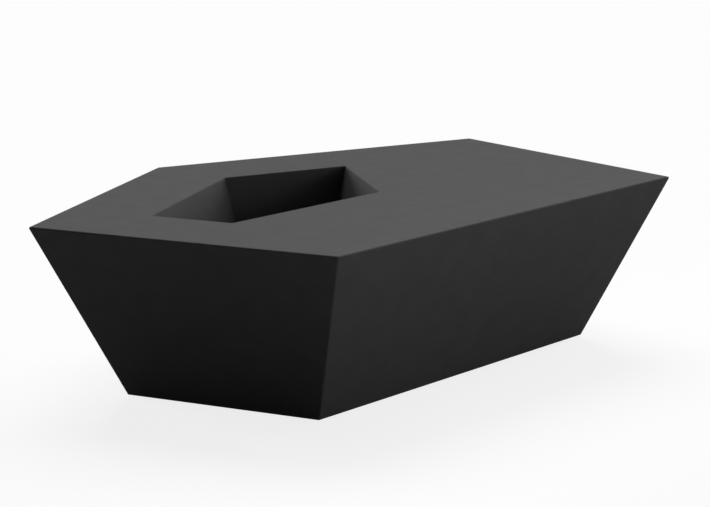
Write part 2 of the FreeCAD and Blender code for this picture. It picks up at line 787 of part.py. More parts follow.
def drain_stopper():
    """The rubber stopper: a cap on the drain's flange, a tapered plug in its mouth and a lug for the ring."""
    plug, rim, cap = "drain_seat_diameter / 2 - clear_gap", "stopper_cap_diameter / 2", "stopper_cap_height"
    tip = f"{plug} - stopper_plug_length * tan(stopper_plug_taper * 1 deg)"
    body = turned_piece("drain_stopper", [
        ("0", "-stopper_plug_length"), (tip, "-stopper_plug_length"), (plug, "0"), (rim, "0"),
        (rim, f"{cap} - stopper_cap_edge"), (f"{rim} - stopper_cap_edge", cap), ("0", cap)],
        DRAIN, "flange_top")
    half, axle = "lug_width / 2", f"{cap} + ring_lift + ring_wire / 2"
    crown = f"{axle} + ring_eye / 2 + lug_wall"
    shoulder = f"{crown} - {half} / 2"
    side = new_sketch(body, "lug_side", "-lug_thickness / 2", role="XZ_Plane")
    add_shape(side, [(f"-{half}", cap), (half, cap), (half, shoulder), (f"{half} / 2", crown),
                     (f"-{half} / 2", crown), (f"-{half}", shoulder)])
    pad(body, "lug", side, "lug_thickness")
    eye = new_sketch(body, "eye_outline", "-lug_thickness / 2", role="XZ_Plane")
    add_circle(eye, "ring_eye", ("0", axle))
    cut(body, "eye", eye, "lug_thickness", upward=True)


def stopper_ring():
    """The wire ring that passes through the stopper's lug and lies over its cap."""
    ring = doc.addObject("Part::Torus", "stopper_ring")
    ring.Label = "stopper_ring"
    bind(ring, "Radius1", "ring_radius")
    bind(ring, "Radius2", "ring_wire / 2")
    place(ring, beside(DRAIN, "ring_radius", "0"), "ring_level")
    return keep(ring)


def drain():
    """Everything from the stopper in the bucket down to the pipe's end."""
    drain_body()
    drain_seals()
    drain_locknut()
    strainer()
    tail_pipe()
    drain_stopper()
    stopper_ring()


# Access cover

def access_cover():
    """The round cover in the base, with countersunk screw holes and ribs on its inner face."""
    rim, hub, ring = "cover_diameter / 2", "grommet_hole / 2", "cover_rib_ring"
    top, wall = "cover_height", "cover_rib_width"
    rib_top = f"{top} + cover_rib_height"
    body = turned_piece("access_cover", [
        (hub, "0"), (f"{rim} - cover_edge", "0"), (rim, "cover_edge"), (rim, top), (ring, top),
        (ring, rib_top), (f"{ring} - {wall}", rib_top), (f"{ring} - {wall}", top), (hub, top)],
        DRAIN, "panel_level")
    spoke = new_sketch(body, "spoke_outline", top)
    inner, outer, half = f"{hub} + grommet_lip + 2 * {wall}", f"{ring} - {wall} / 2", f"{wall} / 2"
    add_shape(spoke, [(inner, f"-{half}"), (outer, f"-{half}"), (outer, half), (inner, half)])
    polar(body, "spokes", [pad(body, "spoke", spoke, "cover_rib_height")], "screw_count")
    polar(body, "screw_holes", [countersunk_hole(body)], "screw_count")


def countersunk_hole(body):
    """One hole through the cover for a countersunk screw, its cone open downwards."""
    axis, top = "screw_circle / 2", "cover_height"
    hole, head = "(screw_diameter + hole_gap) / 2", "screw_head / 2 + clear_gap"
    profile = new_sketch(body, "countersink", role="XZ_Plane")
    first = add_shape(profile, [
        (axis, "0"), (f"{axis} + {head}", "0"), (f"{axis} + {hole}", f"{head} - {hole}"),
        (f"{axis} + {hole}", top), (axis, top)])
    centre = Part.LineSegment(Vector(size(axis), 0, 0), Vector(size(axis), size(top), 0))
    number = profile.addGeometry(centre, True)
    profile.addConstraint(Sketcher.Constraint("Coincident", number, 1, first, 1))
    profile.addConstraint(Sketcher.Constraint("Coincident", number, 2, first + 4, 1))
    feature = body.newObject("PartDesign::Groove", "countersunk_hole")
    feature.Profile = (profile, [""])
    feature.ReferenceAxis = (profile, ["Axis0"])
    feature.Angle = 360.0
    return checked_cut(body, feature)


def cover_gasket():
    """The foam ring between the cover and the shell."""
    body = flat_ring("cover_gasket", "access_diameter / 2 + clear_gap", "cover_diameter / 2 - clear_gap",
                     "cover_gasket_height", "panel_level + cover_height")
    hole = round_cut(body, "screw_hole", [("screw_circle / 2", "0")], "screw_diameter + hole_gap", "0",
                     "cover_gasket_height")
    polar(body, "screw_holes", [hole], "screw_count")


def cover_screws():
    """Countersunk socket screws, one node for all of them."""
    shank = "screw_diameter / 2"
    model = turned_body("cover_screw_model", [
        ("0", "0"), ("screw_head / 2", "0"), (shank, "(screw_head - screw_diameter) / 2"),
        (shank, "screw_length"), ("0", "screw_length")])
    key = new_sketch(model, "key_outline")
    hexagon(key, "screw_socket")
    cut(model, "key", key, "screw_socket_depth", upward=True)
    group_of("cover_screws", model, screw_spots(), "panel_level")


def cover_inserts():
    """Brass inserts for the cover's screws, moulded into the shell."""
    radius, bore = "cover_insert_diameter / 2", "screw_diameter / 2 + clear_gap / 2"
    profile = grooved_insert(radius, bore, "cover_insert_length", "insert_groove / 2")
    group_of("cover_inserts", turned_body("cover_insert_model", profile), screw_spots(), "rebate_roof")


def pipe_grommet():
    """The rubber grommet that seals the pipe in the cover."""
    bore, groove = "pipe_diameter / 2 + fit_gap", "grommet_hole / 2 - fit_gap"
    lip, top, bead = "grommet_hole / 2 + grommet_lip", "cover_height", "grommet_bead"
    return turned_piece("pipe_grommet", [
        (bore, f"-{bead}"), (f"{lip} - {bead}", f"-{bead}"), (lip, "0"), (groove, "0"), (groove, top),
        (lip, top), (f"{lip} - {bead}", f"{top} + {bead}"), (bore, f"{top} + {bead}")],
        DRAIN, "panel_level")


def cover():
    """The access cover with its seal, screws, inserts and grommet."""
    access_cover()
    cover_gasket()
    cover_screws()
    cover_inserts()
    pipe_grommet()


def vent_plug():
    """The push-in plug that closes the moulding's vent."""
    shank, barb, head, height = "vent_shank / 2", "vent_hole / 2", "vent_head / 2", "vent_head_height"
    hold = "skin + clear_gap"
    return turned_piece("vent_plug", [
        ("0", f"-{height}"), (f"{head} - {height} / 2", f"-{height}"), (head, "0"), (shank, "0"),
        (shank, hold), (barb, hold), (shank, f"{hold} + {height}"), ("0", f"{hold} + {height}")],
        VENT, "panel_level")


def check_and_write():
    """Stop on any failed object or bad solid, then write one file for each sub-part."""
    doc.recompute()
    failed = [o.Name for o in doc.Objects if {"Invalid", "Error"} & set(o.State)]
    if failed:
        raise RuntimeError(f"failed objects: {failed}")
    for piece in pieces:
        shape = piece.Shape
        if shape.isNull() or not shape.isValid() or not shape.Solids:
            raise RuntimeError(f"{piece.Label} has no valid solid")
        box = shape.BoundBox
        print(f"{piece.Label}: {len(shape.Solids)} solids, {shape.Volume / 1000:.1f} cm3,"
              f" z {box.ZMin:.2f} to {box.ZMax:.2f}")
    os.makedirs("parts", exist_ok=True)
    for piece in pieces:
        piece.Shape.exportStep(os.path.join("parts", f"{piece.Label}.step"))


def main():
    """Build the table."""
    fill_sheet()
    table_shell()
    glide_inserts()
    glides()
    drain()
    cover()
    vent_plug()
    check_and_write()


main()
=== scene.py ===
"""Dresses the packed ice bucket coffee table as the moulded, drained garden table that it is.

Five makers build the scene. TableShell, Drain, BasePlate and LevellingGlides make and dress the
sub-assemblies, and Studio makes the camera, the lamps, the sky and the floor. The frame's +X runs along the
long front edge, +Y to the back and +Z up from the floor. The sub-assemblies' sizes are in millimetres and
their meshes in metres; the studio's places are in metres.
"""
import logging
import math
from dataclasses import dataclass
from enum import Enum
from typing import Callable, Sequence

import bmesh
import bpy
import numpy as np
from mathutils import Matrix, Vector
from mathutils.geometry import delaunay_2d_cdt


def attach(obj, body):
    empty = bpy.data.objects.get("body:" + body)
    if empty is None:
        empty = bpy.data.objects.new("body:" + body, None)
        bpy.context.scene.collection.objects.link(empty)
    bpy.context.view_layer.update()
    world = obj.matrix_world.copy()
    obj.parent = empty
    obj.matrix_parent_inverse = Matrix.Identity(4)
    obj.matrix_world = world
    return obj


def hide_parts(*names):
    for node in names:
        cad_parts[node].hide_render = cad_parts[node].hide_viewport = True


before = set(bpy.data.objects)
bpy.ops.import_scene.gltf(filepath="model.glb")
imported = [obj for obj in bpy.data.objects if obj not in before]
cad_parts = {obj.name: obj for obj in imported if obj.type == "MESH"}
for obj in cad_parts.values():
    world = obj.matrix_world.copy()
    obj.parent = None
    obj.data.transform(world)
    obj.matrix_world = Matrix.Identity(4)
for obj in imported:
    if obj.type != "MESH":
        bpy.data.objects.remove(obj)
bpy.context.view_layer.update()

LOG = logging.getLogger("ice_bucket_table")
MM = 0.001
Node = bpy.types.Node
Socket = bpy.types.NodeSocket
Tree = bpy.types.NodeTree
Ripple = Callable[[np.ndarray, np.ndarray, np.ndarray], np.ndarray]

# In millimetres: the smallest corner radius in plan, the distance that tells two surfaces of a profile
# apart, and the distance below which two points are one
SHARPEST = 0.5
HAIR = 0.01
SAME_POINT = 1e-7
# The triangulation's number for the triangles inside the loops
INSIDE = 1


# Lines in plan and in section

def moved_in(corners: np.ndarray, gap: float | np.ndarray) -> np.ndarray:
    """Moves every side of a convex outline inwards and finds its new corners.

    Formula: a side is the line n.p = c, with n its inward normal. It moves to n.p = c + gap, and a corner is
    where two neighbours meet, by Cramer's rule.

    Args:
        corners: corners in order, counter-clockwise, one row each.
        gap: how far the sides move in, all of them or each.

    Returns:
        The corners of the moved outline.
    """
    ahead = np.roll(corners, -1, axis=0) - corners
    ahead /= np.linalg.norm(ahead, axis=1, keepdims=True)
    inward = np.stack([-ahead[:, 1], ahead[:, 0]], axis=1)
    reach = np.sum(inward * corners, axis=1) + gap
    other, other_reach = np.roll(inward, 1, axis=0), np.roll(reach, 1)
    cross = other[:, 0] * inward[:, 1] - other[:, 1] * inward[:, 0]
    x = (other_reach * inward[:, 1] - other[:, 1] * reach) / cross
    y = (other[:, 0] * reach - other_reach * inward[:, 0]) / cross
    return np.stack([x, y], axis=1)


def looped(corners: np.ndarray) -> np.ndarray:
    """Returns a closed outline as a line from before its first corner to after its last."""
    return np.concatenate([corners[-1:], corners, corners[:1]])


def corner_arcs(line: np.ndarray, radii: np.ndarray, steps: int) -> np.ndarray:
    """Rounds the corners of a plane line with arcs.

    Formula: with the directions d into and e out of a corner, which turn by the angle t, the arc starts
    r tan(t/2) before the corner, and its points are centre - r cos(a) n + r sin(a) d for a from 0 to t, where
    n is d's normal on the side that the line turns to.

    Args:
        line: the line's points, whose first and last aren't corners.
        radii: each arc's radius.
        steps: how many steps an arc takes.

    Returns:
        The arcs' points, as corner by step by coordinate.
    """
    before, corners, after = line[:-2], line[1:-1], line[2:]
    into = (corners - before) / np.linalg.norm(corners - before, axis=1, keepdims=True)
    out = (after - corners) / np.linalg.norm(after - corners, axis=1, keepdims=True)
    turn = np.arctan2(into[:, 0] * out[:, 1] - into[:, 1] * out[:, 0], np.sum(into * out, axis=1))
    normal = np.stack([-into[:, 1], into[:, 0]], axis=1) * np.sign(turn)[:, None]
    start = corners - into * (radii * np.tan(np.abs(turn) / 2))[:, None]
    centre = (start + normal * radii[:, None])[:, None]
    angle = np.abs(turn)[:, None, None] * np.linspace(0, 1, steps + 1)[None, :, None]
    reach = radii[:, None, None]
    return centre - reach * np.cos(angle) * normal[:, None] + reach * np.sin(angle) * into[:, None]


def soft_line(points: Sequence[tuple[float, float, float]], steps: int = 4) -> np.ndarray:
    """Draws a turned piece's profile, with rounded corners.

    Formula: each inner corner becomes an arc of its own radius, as corner_arcs says; a radius of 0 keeps it.

    Args:
        points: distance from the axis, height, and corner radius, in millimetres.
        steps: how many steps an arc takes.

    Returns:
        The profile's points, one row of radius and height each.
    """
    rows = np.array(points, dtype=float)
    line, radii = rows[:, :2], rows[1:-1, 2]
    arcs = corner_arcs(line, radii, steps)
    middle = [arc if radius > 0 else arc[:1] for arc, radius in zip(arcs, radii)]
    return np.concatenate([line[:1], *middle, line[-1:]])


def bend(gap: float, level: float, radius: float, start: float, end: float, steps: int = 6) -> np.ndarray:
    """Returns the gap and level of points along an arc in section, about its centre, in degrees."""
    angle = np.radians(np.linspace(start, end, steps + 1))
    return np.column_stack([gap + radius * np.cos(angle), level + radius * np.sin(angle)])


def rolled(radius: float, start: float, end: float, steps: int = 6) -> np.ndarray:
    """Returns the corner radii in plan along a bend, as a ball that rolls round the corner leaves them."""
    angle = np.radians(np.linspace(start, end, steps + 1))
    return np.maximum(radius * np.abs(np.cos(angle)), SHARPEST)


def levels(start: float, end: float, radius: float, steps: int) -> list[tuple[float, float, float]]:
    """Returns a straight run of profile points between two heights at one radius, both ends included."""
    return [(radius, float(level), 0.0) for level in np.linspace(start, end, steps + 1)]


def groove(level: float, outer: float, inner: float, depth: float, lip: float,
           bottom: float) -> list[tuple[float, float, float]]:
    """Returns profile points for a turned groove with 45 degree sides, from its outer lip to its inner."""
    return [(outer, level, lip), (outer - depth, level - depth, bottom),
            (inner + depth, level - depth, bottom), (inner, level, lip)]


def circle(radius: float, centre: Sequence[float], steps: int) -> np.ndarray:
    """Returns evenly spaced points on a circle, counter-clockwise from the X axis."""
    angle = np.arange(steps) * math.tau / steps
    return np.stack([centre[0] + radius * np.cos(angle), centre[1] + radius * np.sin(angle)], axis=1)


@dataclass(frozen=True)
class Plan:
    """The table's plan, from the sizes that drive it. Lengths are in millimetres and angles in degrees."""
    front_edge: float = 1148.0
    right_edge: float = 732.0
    back_left_edge: float = 767.0
    left_edge: float = 680.0
    front_left_angle: float = 101.2
    front_right_angle: float = 107.4
    left_angle: float = 103.5
    front_rim: float = 381.0
    back_rim: float = 215.0
    back_left_rim: float = 194.0
    left_rim: float = 211.0
    mouth_front_edge: float = 464.0
    mouth_back_edge: float = 308.0
    deck_level: float = 360.0
    base_level: float = 4.0
    wall_draft: float = 23.2
    glide_inset: float = 52.0
    drain_place: tuple[float, float] = (450.0, 545.0)
    vent_place: tuple[float, float] = (780.0, 545.0)

    def edge(self, length: float, slope: float) -> np.ndarray:
        """Returns an edge as a step in plan, its slope measured from the X axis."""
        return length * np.array([math.cos(math.radians(slope)), math.sin(math.radians(slope))])

    def deck(self) -> np.ndarray:
        """Works out the deck's corners, from the front left one counter-clockwise.

        Formula: each edge is a step from the corner before it, and the outline's box is centred on the
        frame's axis.

        Returns:
            The corners, one row each.
        """
        front_right = self.edge(self.front_edge, 0)
        back_right = front_right + self.edge(self.right_edge, 180 - self.front_right_angle)
        left = self.edge(self.left_edge, self.front_left_angle)
        back = left + self.edge(self.back_left_edge, self.front_left_angle + self.left_angle - 180)
        corners = np.stack([np.zeros(2), front_right, back_right, back, left])
        return corners - (corners.min(axis=0) + corners.max(axis=0)) / 2

    def mouth(self) -> np.ndarray:
        """Works out the corners of the bucket's mouth, in the deck's order.

        Formula: the front left, back and left corners are where the inner sides of the rims meet. The front
        and the back edge have lengths of their own, which give the other two.

        Returns:
            The corners, one row each.
        """
        deck = self.deck()
        corners = moved_in(deck, np.array([self.front_rim, self.front_rim, self.back_rim,
                                           self.back_left_rim, self.left_rim]))
        back = (deck[2] - deck[3]) / np.linalg.norm(deck[2] - deck[3])
        corners[1] = corners[0] + (self.mouth_front_edge, 0)
        corners[2] = corners[3] + back * self.mouth_back_edge
        return corners

    def glides(self) -> dict[str, list[float]]:
        """Returns each glide's spot, which is its inset inside the base's two edges at its corner."""
        base_gap = (self.deck_level - self.base_level) * math.tan(math.radians(self.wall_draft))
        spots = moved_in(self.deck(), base_gap + self.glide_inset).tolist()
        return dict(zip(("front_left", "front_right", "back_right", "back", "left"), spots))


PLAN = Plan()
DECK_CORNERS = PLAN.deck()
DRAIN_SPOT = DECK_CORNERS[0] + PLAN.drain_place
VENT_SPOT = DECK_CORNERS[0] + PLAN.vent_place
GLIDE_SPOTS = PLAN.glides()


@dataclass(frozen=True)
class Pentagon:
    """A family of rounded pentagons inside one outline, all with matching points, so that they join up."""
    corners: np.ndarray
    arc_steps: int = 6
    side_steps: int = 26
    hold: float = 2.5

    def ring(self, gap: float, radius: float) -> np.ndarray:
        """Draws one pentagon of the family.

        Formula: the sides lie at the gap inside the outline and the corners are arcs. A side's points are
        even but for one near each end, which keeps the corner's shading in the corner.

        Args:
            gap: the distance in from the outline.
            radius: the corners' radius.

        Returns:
            The loop's points in order.
        """
        corners = moved_in(self.corners, gap)
        arcs = corner_arcs(looped(corners), np.full(len(corners), radius), self.arc_steps)
        start, end = arcs[:, -1], np.roll(arcs[:, 0], -1, axis=0)
        near = (self.hold / np.linalg.norm(end - start, axis=1))[:, None]
        even = np.linspace(0, 1, self.side_steps + 1)[1:-1]
        share = np.concatenate([near, np.broadcast_to(even, (len(corners), even.size)), 1 - near], axis=1)
        sides = start[:, None] + (end - start)[:, None] * share[..., None]
        return np.concatenate([arcs, sides], axis=1).reshape(-1, 2)


# Closed meshes from loops of points

def put_in_scene(name: str, data: bpy.types.ID) -> bpy.types.Object:
    """Returns a new object that shows some data, at the origin of the scene."""
    made = bpy.data.objects.new(name, data)
    bpy.context.scene.collection.objects.link(made)
    return made


class Skin:
    """Gathers loops of points in millimetres and the faces between them, and makes a mesh in metres."""

    def __init__(self) -> None:
        """Starts with no points."""
        self.points: list[np.ndarray] = []
        self.faces: list[list[int]] = []
        self.count = 0

    def loop(self, outline: np.ndarray, level: float | np.ndarray) -> np.ndarray:
        """Adds a loop of points.

        Args:
            outline: the points in plan.
            level: the height of all, or of each.

        Returns:
            The points' numbers.
        """
        heights = np.broadcast_to(np.asarray(level, dtype=float), (len(outline),))
        self.points.append(np.column_stack([outline, heights]))
        self.count += len(outline)
        return np.arange(self.count - len(outline), self.count)

    def chain(self, *loops: np.ndarray) -> None:
        """Joins each loop to the next with a strip of quads.

        Args:
            loops: the loops' point numbers, equally many in each.
        """
        for a, b in zip(loops, loops[1:]):
            strip = np.stack([a, np.roll(a, -1), np.roll(b, -1), b], axis=1)
            self.faces.extend(strip.tolist())

    def grid(self, x: np.ndarray, y: np.ndarray, z: np.ndarray) -> list[np.ndarray]:
        """Adds each row of a grid of points as a loop, and joins the loops in order.

        Args:
            x: the first coordinate of every point, a row for a loop.
            y: the second coordinate.
            z: the height.

        Returns:
            The loops' point numbers.
        """
        loops = [self.loop(np.column_stack(row[:2]), row[2]) for row in zip(x, y, z)]
        self.chain(*loops)
        return loops

    def close(self, loop: np.ndarray) -> None:
        """Closes a loop with a fan of triangles about its middle.

        Args:
            loop: its point numbers.
        """
        ring = np.concatenate(self.points)[loop]
        hub = self.loop(ring[:, :2].mean(axis=0, keepdims=True), ring[:, 2].mean())
        fan = np.stack([loop, np.roll(loop, -1), np.full(len(loop), hub[0])], axis=1)
        self.faces.extend(fan.tolist())

    def floor(self, outer: np.ndarray, holes: Sequence[np.ndarray]) -> None:
        """Fills the level area between an outer loop and the holes in it.

        Formula: a Delaunay triangulation that keeps every loop's edges, less the triangles that lie in an
        area besides the outer loop's own.

        Args:
            outer: the outer loop's point numbers.
            holes: the holes' point numbers.
        """
        loops = [outer, *holes]
        numbers = np.concatenate(loops)
        spots = [Vector(spot) for spot in np.concatenate(self.points)[numbers, :2].tolist()]
        starts = np.cumsum([0] + [len(one) for one in loops])
        areas = [list(range(start, start + len(one))) for start, one in zip(starts, loops)]
        found = delaunay_2d_cdt(spots, [], areas, INSIDE, SAME_POINT)
        triangles, point_sources, triangle_sources = found[2], found[3], found[5]
        kept = [corners for corners, within in zip(triangles, triangle_sources) if list(within) == [0]]
        source = np.array([sources[0] for sources in point_sources])
        self.faces.extend(numbers[source[np.array(kept)]].tolist())

    def revolve(self, profile: np.ndarray, centre: Sequence[float], steps: int,
                ripple: Ripple | None = None) -> list[np.ndarray]:
        """Turns a profile about an upright axis.

        Formula: x = cx + (r + ripple) cos(a), y = cy + (r + ripple) sin(a) and z = h, for each profile point
        (r, h) and each of the evenly spaced angles a. The ripple is a function of a, r and h.

        Args:
            profile: radius and height of each point, in order.
            centre: where the axis stands in plan.
            steps: how many angles.
            ripple: what is added to the radius, such as a thread.

        Returns:
            The loops' point numbers, one for each profile point.
        """
        angle = np.arange(steps) * math.tau / steps
        radius = np.repeat(profile[:, :1], steps, axis=1)
        height = np.repeat(profile[:, 1:], steps, axis=1)
        if ripple:
            radius = radius + ripple(angle[None, :], radius, height)
        return self.grid(centre[0] + radius * np.cos(angle), centre[1] + radius * np.sin(angle), height)

    def mesh(self, name: str) -> bpy.types.Mesh:
        """Returns the points and faces as a mesh in metres."""
        mesh = bpy.data.meshes.new(name)
        mesh.from_pydata((np.concatenate(self.points) * MM).tolist(), [], self.faces)
        return mesh

    def piece(self, name: str, finish: "Finish", sharp: float = 32.0) -> bpy.types.Object:
        """Makes the object of a closed piece.

        Args:
            name: the piece's name.
            finish: what it is made of.
            sharp: edges that turn by more than this many degrees stay crisp.

        Returns:
            The object, at the origin, with its faces outwards.
        """
        mesh = self.mesh(name)
        solid = bmesh.new()
        solid.from_mesh(mesh)
        loose = [edge for edge in solid.edges if len(edge.link_faces) != 2]
        if loose:
            LOG.warning("%s has %d open edges", name, len(loose))
        bmesh.ops.recalc_face_normals(solid, faces=solid.faces)
        solid.to_mesh(mesh)
        solid.free()
        mesh.shade_smooth()
        mesh.set_sharp_from_angle(angle=math.radians(sharp))
        mesh.materials.append(finish.material())
        return put_in_scene(name, mesh)


def turned(points: Sequence[tuple[float, float, float]], centre: Sequence[float], steps: int,
           ripple: Ripple | None = None, bored: bool = False) -> Skin:
    """Turns a whole piece about an upright axis.

    Args:
        points: its profile, as soft_line takes it.
        centre: where the axis stands in plan.
        steps: how many angles.
        ripple: what is added to the radius.
        bored: whether the profile runs back to its start, as a tube's does; else each end is closed.

    Returns:
        The closed surface.
    """
    skin = Skin()
    line = soft_line([*points, points[0]])[:-1] if bored else soft_line(points)
    loops = skin.revolve(line, centre, steps, ripple)
    if bored:
        skin.chain(loops[-1], loops[0])
    else:
        skin.close(loops[0])
        skin.close(loops[-1])
    return skin


def helix(pitch: float, depth: float, bottom: float, top: float) -> Ripple:
    """Makes a thread for a turned profile.

    Formula: the radius falls by depth (1 - cos(2 pi h / pitch - a)) / 2, and the thread fades in over one
    pitch at either end.

    Args:
        pitch: the rise in one turn.
        depth: how deep the thread is cut.
        bottom: where it starts.
        top: where it ends.

    Returns:
        What is added to the radius, as a function of the angle, the radius and the height.
    """
    def ripple(angle: np.ndarray, radius: np.ndarray, height: np.ndarray) -> np.ndarray:
        """Returns the thread's depth at each point, as a negative number."""
        fade = np.clip(np.minimum(height - bottom, top - height) / pitch, 0, 1)
        return -depth * fade * (1 - np.cos(math.tau * height / pitch - angle)) / 2
    return ripple


def flutes(count: int, depth: float, bottom: float, top: float, fade: float = 0.5) -> Ripple:
    """Makes grip flutes for a turned profile.

    Formula: the radius falls by depth times the fourth power of cos(count a / 2), between two heights.

    Args:
        count: how many flutes.
        depth: how deep each is.
        bottom: where they start.
        top: where they end.
        fade: the height over which they fade in at either end.

    Returns:
        What is added to the radius.
    """
    def ripple(angle: np.ndarray, radius: np.ndarray, height: np.ndarray) -> np.ndarray:
        """Returns the flutes' depth at each point, as a negative number."""
        inside = np.clip(np.minimum(height - bottom, top - height) / fade, 0, 1)
        return -depth * inside * np.cos(count * angle / 2) ** 4
    return ripple


# Materials

# Where the value of soft noise mostly lies
NOISE_SPREAD = (0.3, 0.7)


def linear(hex_colour: str) -> tuple[float, float, float, float]:
    """Turns an sRGB hex colour to linear light.

    Formula: c / 12.92 below 0.04045, else ((c + 0.055) / 1.055) to the power 2.4, for each channel.

    Args:
        hex_colour: six hex digits, such as "2e2f30".

    Returns:
        Linear red, green and blue, and an alpha of 1.
    """
    channels = [int(hex_colour[i:i + 2], 16) / 255 for i in (0, 2, 4)]
    light = [c / 12.92 if c <= 0.04045 else ((c + 0.055) / 1.055) ** 2.4 for c in channels]
    return (*light, 1.0)


def per_metre(millimetres: float) -> float:
    """Returns the texture scale that repeats a pattern once in so many millimetres of Object coordinates."""
    return 1000 / millimetres


def add_node(tree: Tree, kind: str, inputs: dict[str | int, object] | None = None,
             **settings: object) -> Node:
    """Adds one node with its settings, values and links.

    Args:
        tree: the node tree that gets it.
        kind: the node's type name.
        inputs: for each input's name or number, a value to set, or an output or a whole node to link, which
            stands for its first output in use.
        settings: the node's own properties.

    Returns:
        The new node.
    """
    node = tree.nodes.new(kind)
    for name, value in settings.items():
        setattr(node, name, value)
    for key, value in (inputs or {}).items():
        if isinstance(value, Node):
            value = next(output for output in value.outputs if output.enabled)
        if isinstance(value, Socket):
            tree.links.new(value, node.inputs[key])
        else:
            node.inputs[key].default_value = value
    return node


@dataclass(frozen=True)
class Layer:
    """One pattern of lumps in a surface: its width, its finer octaves, and its depth as relief.

    The width and the depth are in millimetres. A width is the real one, or else as coarse as it needs to be
    to show, which the finish then says. The strength is how much of the relief's bend the light takes up.
    """
    width: float
    octaves: float = 1.0
    harshness: float = 0.5
    depth: float = 0.0
    strength: float = 0.0


@dataclass(frozen=True)
class Finish:
    """What a finish states: its colours, how its surface takes the light, and the layers in it.

    Patches blend the colour to the patch colour, by no more than patch_amount, as their pattern goes from the
    start of patch_range to its end. The relief's layers lie on one another, coarse to fine. The roughness
    swings about its value with the patches, or else with the finest layer of the relief.
    """
    name: str
    colour: str
    roughness: float
    ior: float = 1.5
    specular: float = 0.5
    metallic: float = 0.0
    patch_colour: str = "808080"
    patches: Layer = Layer(10.0)
    patch_range: tuple[float, float] = NOISE_SPREAD
    patch_amount: float = 1.0
    relief: tuple[Layer, ...] = ()
    swing: tuple[float, float] = (0.0, 0.0)
    swings_with_patches: bool = False

    def material(self) -> bpy.types.Material:
        """Makes the material once and hands the same one out afterwards.

        Returns:
            The finish as a node material on Object coordinates.
        """
        made = bpy.data.materials.get(self.name)
        if made:
            return made
        made = bpy.data.materials.new(self.name)
        made.use_nodes = True
        made.diffuse_color = linear(self.colour)
        tree = made.node_tree
        tree.nodes.clear()
        inputs = {"Metallic": self.metallic} | self.surface(tree)
        if self.metallic < 1:
            inputs |= {"IOR": self.ior, "Specular IOR Level": self.specular}
        shader = add_node(tree, "ShaderNodeBsdfPrincipled", inputs)
        add_node(tree, "ShaderNodeOutputMaterial", {"Surface": shader})
        return made

    def surface(self, tree: Tree) -> dict[str, object]:
        """Builds what varies over the surface: colour, roughness and relief.

        Args:
            tree: the material's node tree.

        Returns:
            The shader's inputs.
        """
        place = add_node(tree, "ShaderNodeTexCoord").outputs["Object"]
        patches, relief = self.lumps(tree, place, self.patches), {}
        for layer in self.relief:
            finest = self.lumps(tree, place, layer)
            bent = add_node(tree, "ShaderNodeBump", relief | {"Height": finest, "Distance": layer.depth * MM,
                                                              "Strength": layer.strength})
            relief = {"Normal": bent}
        start, end = self.patch_range
        share = add_node(tree, "ShaderNodeMapRange", {"Value": patches, "From Min": start, "From Max": end,
                                                      "To Max": self.patch_amount})
        colour = add_node(tree, "ShaderNodeMix", {"Factor": share, "A": linear(self.colour),
                                                  "B": linear(self.patch_colour)}, data_type="RGBA")
        rough = self.roughness
        if any(self.swing):
            if not self.swings_with_patches:
                patches, (start, end) = finest, NOISE_SPREAD
            low, high = (self.roughness + side for side in self.swing)
            rough = add_node(tree, "ShaderNodeMapRange", {"Value": patches, "From Min": start,
                                                          "From Max": end, "To Min": low, "To Max": high})
        return {"Base Color": colour, "Roughness": rough} | relief

    def lumps(self, tree: Tree, place: Socket | Node, layer: Layer) -> Socket | Node:
        """Adds the pattern of a layer, which is soft noise unless a finish overrides it.

        Args:
            tree: the material's node tree.
            place: the coordinates, in metres.
            layer: the layer.

        Returns:
            The pattern's value, 0 to 1.
        """
        return add_node(tree, "ShaderNodeTexNoise", {"Vector": place, "Scale": per_metre(layer.width),
                                                     "Detail": layer.octaves, "Roughness": layer.harshness})


@dataclass(frozen=True)
class MouldedPolyethylene(Finish):
    """Linear polyethylene, rotationally moulded in a sand-blasted steel mould and coloured through.

    The blasted mould leaves an even, dry, fine grain. The powder melts and cools slowly, so the skin also has
    a faint orange peel and slow swells, which show only where light grazes the deck. The real grain is about
    0.4 mm, drawn at 1.4 mm so that a near view still shows it.
    """
    patch_colour: str = "525252"
    patches: Layer = Layer(45.0, 3.0)
    relief: tuple[Layer, ...] = (Layer(160.0, depth=1.2, strength=0.25),
                                 Layer(13.0, depth=0.16, strength=0.3),
                                 Layer(1.4, harshness=0.6, depth=0.16, strength=0.55))
    swing: tuple[float, float] = (-0.06, 0.06)


@dataclass(frozen=True)
class MouldedPolypropylene(Finish):
    """Injection-moulded polypropylene: satin from the polished tool, with flow marks that are also sinks.

    The spark-eroded grain is about 0.3 mm, drawn at 0.8 mm so that it shows.
    """
    patch_colour: str = "3a3b3c"
    patches: Layer = Layer(24.0, 3.0)
    relief: tuple[Layer, ...] = (Layer(24.0, 3.0, depth=0.2, strength=0.3),
                                 Layer(0.8, depth=0.04, strength=0.3))
    swing: tuple[float, float] = (-0.05, 0.05)
    swings_with_patches: bool = True


@dataclass(frozen=True)
class MouldedNylon(Finish):
    """Glass-filled nylon, moulded: a dull skin of fibres, 0.6 mm long, that scuffs pale where it rubs."""
    patch_colour: str = "56575a"
    patches: Layer = Layer(5.0, 4.0, 0.7)
    patch_range: tuple[float, float] = (0.55, 0.75)
    patch_amount: float = 0.6
    relief: tuple[Layer, ...] = (Layer(0.6, 2.0, 0.7, depth=0.05, strength=0.4),)
    swing: tuple[float, float] = (0.0, 0.15)
    swings_with_patches: bool = True


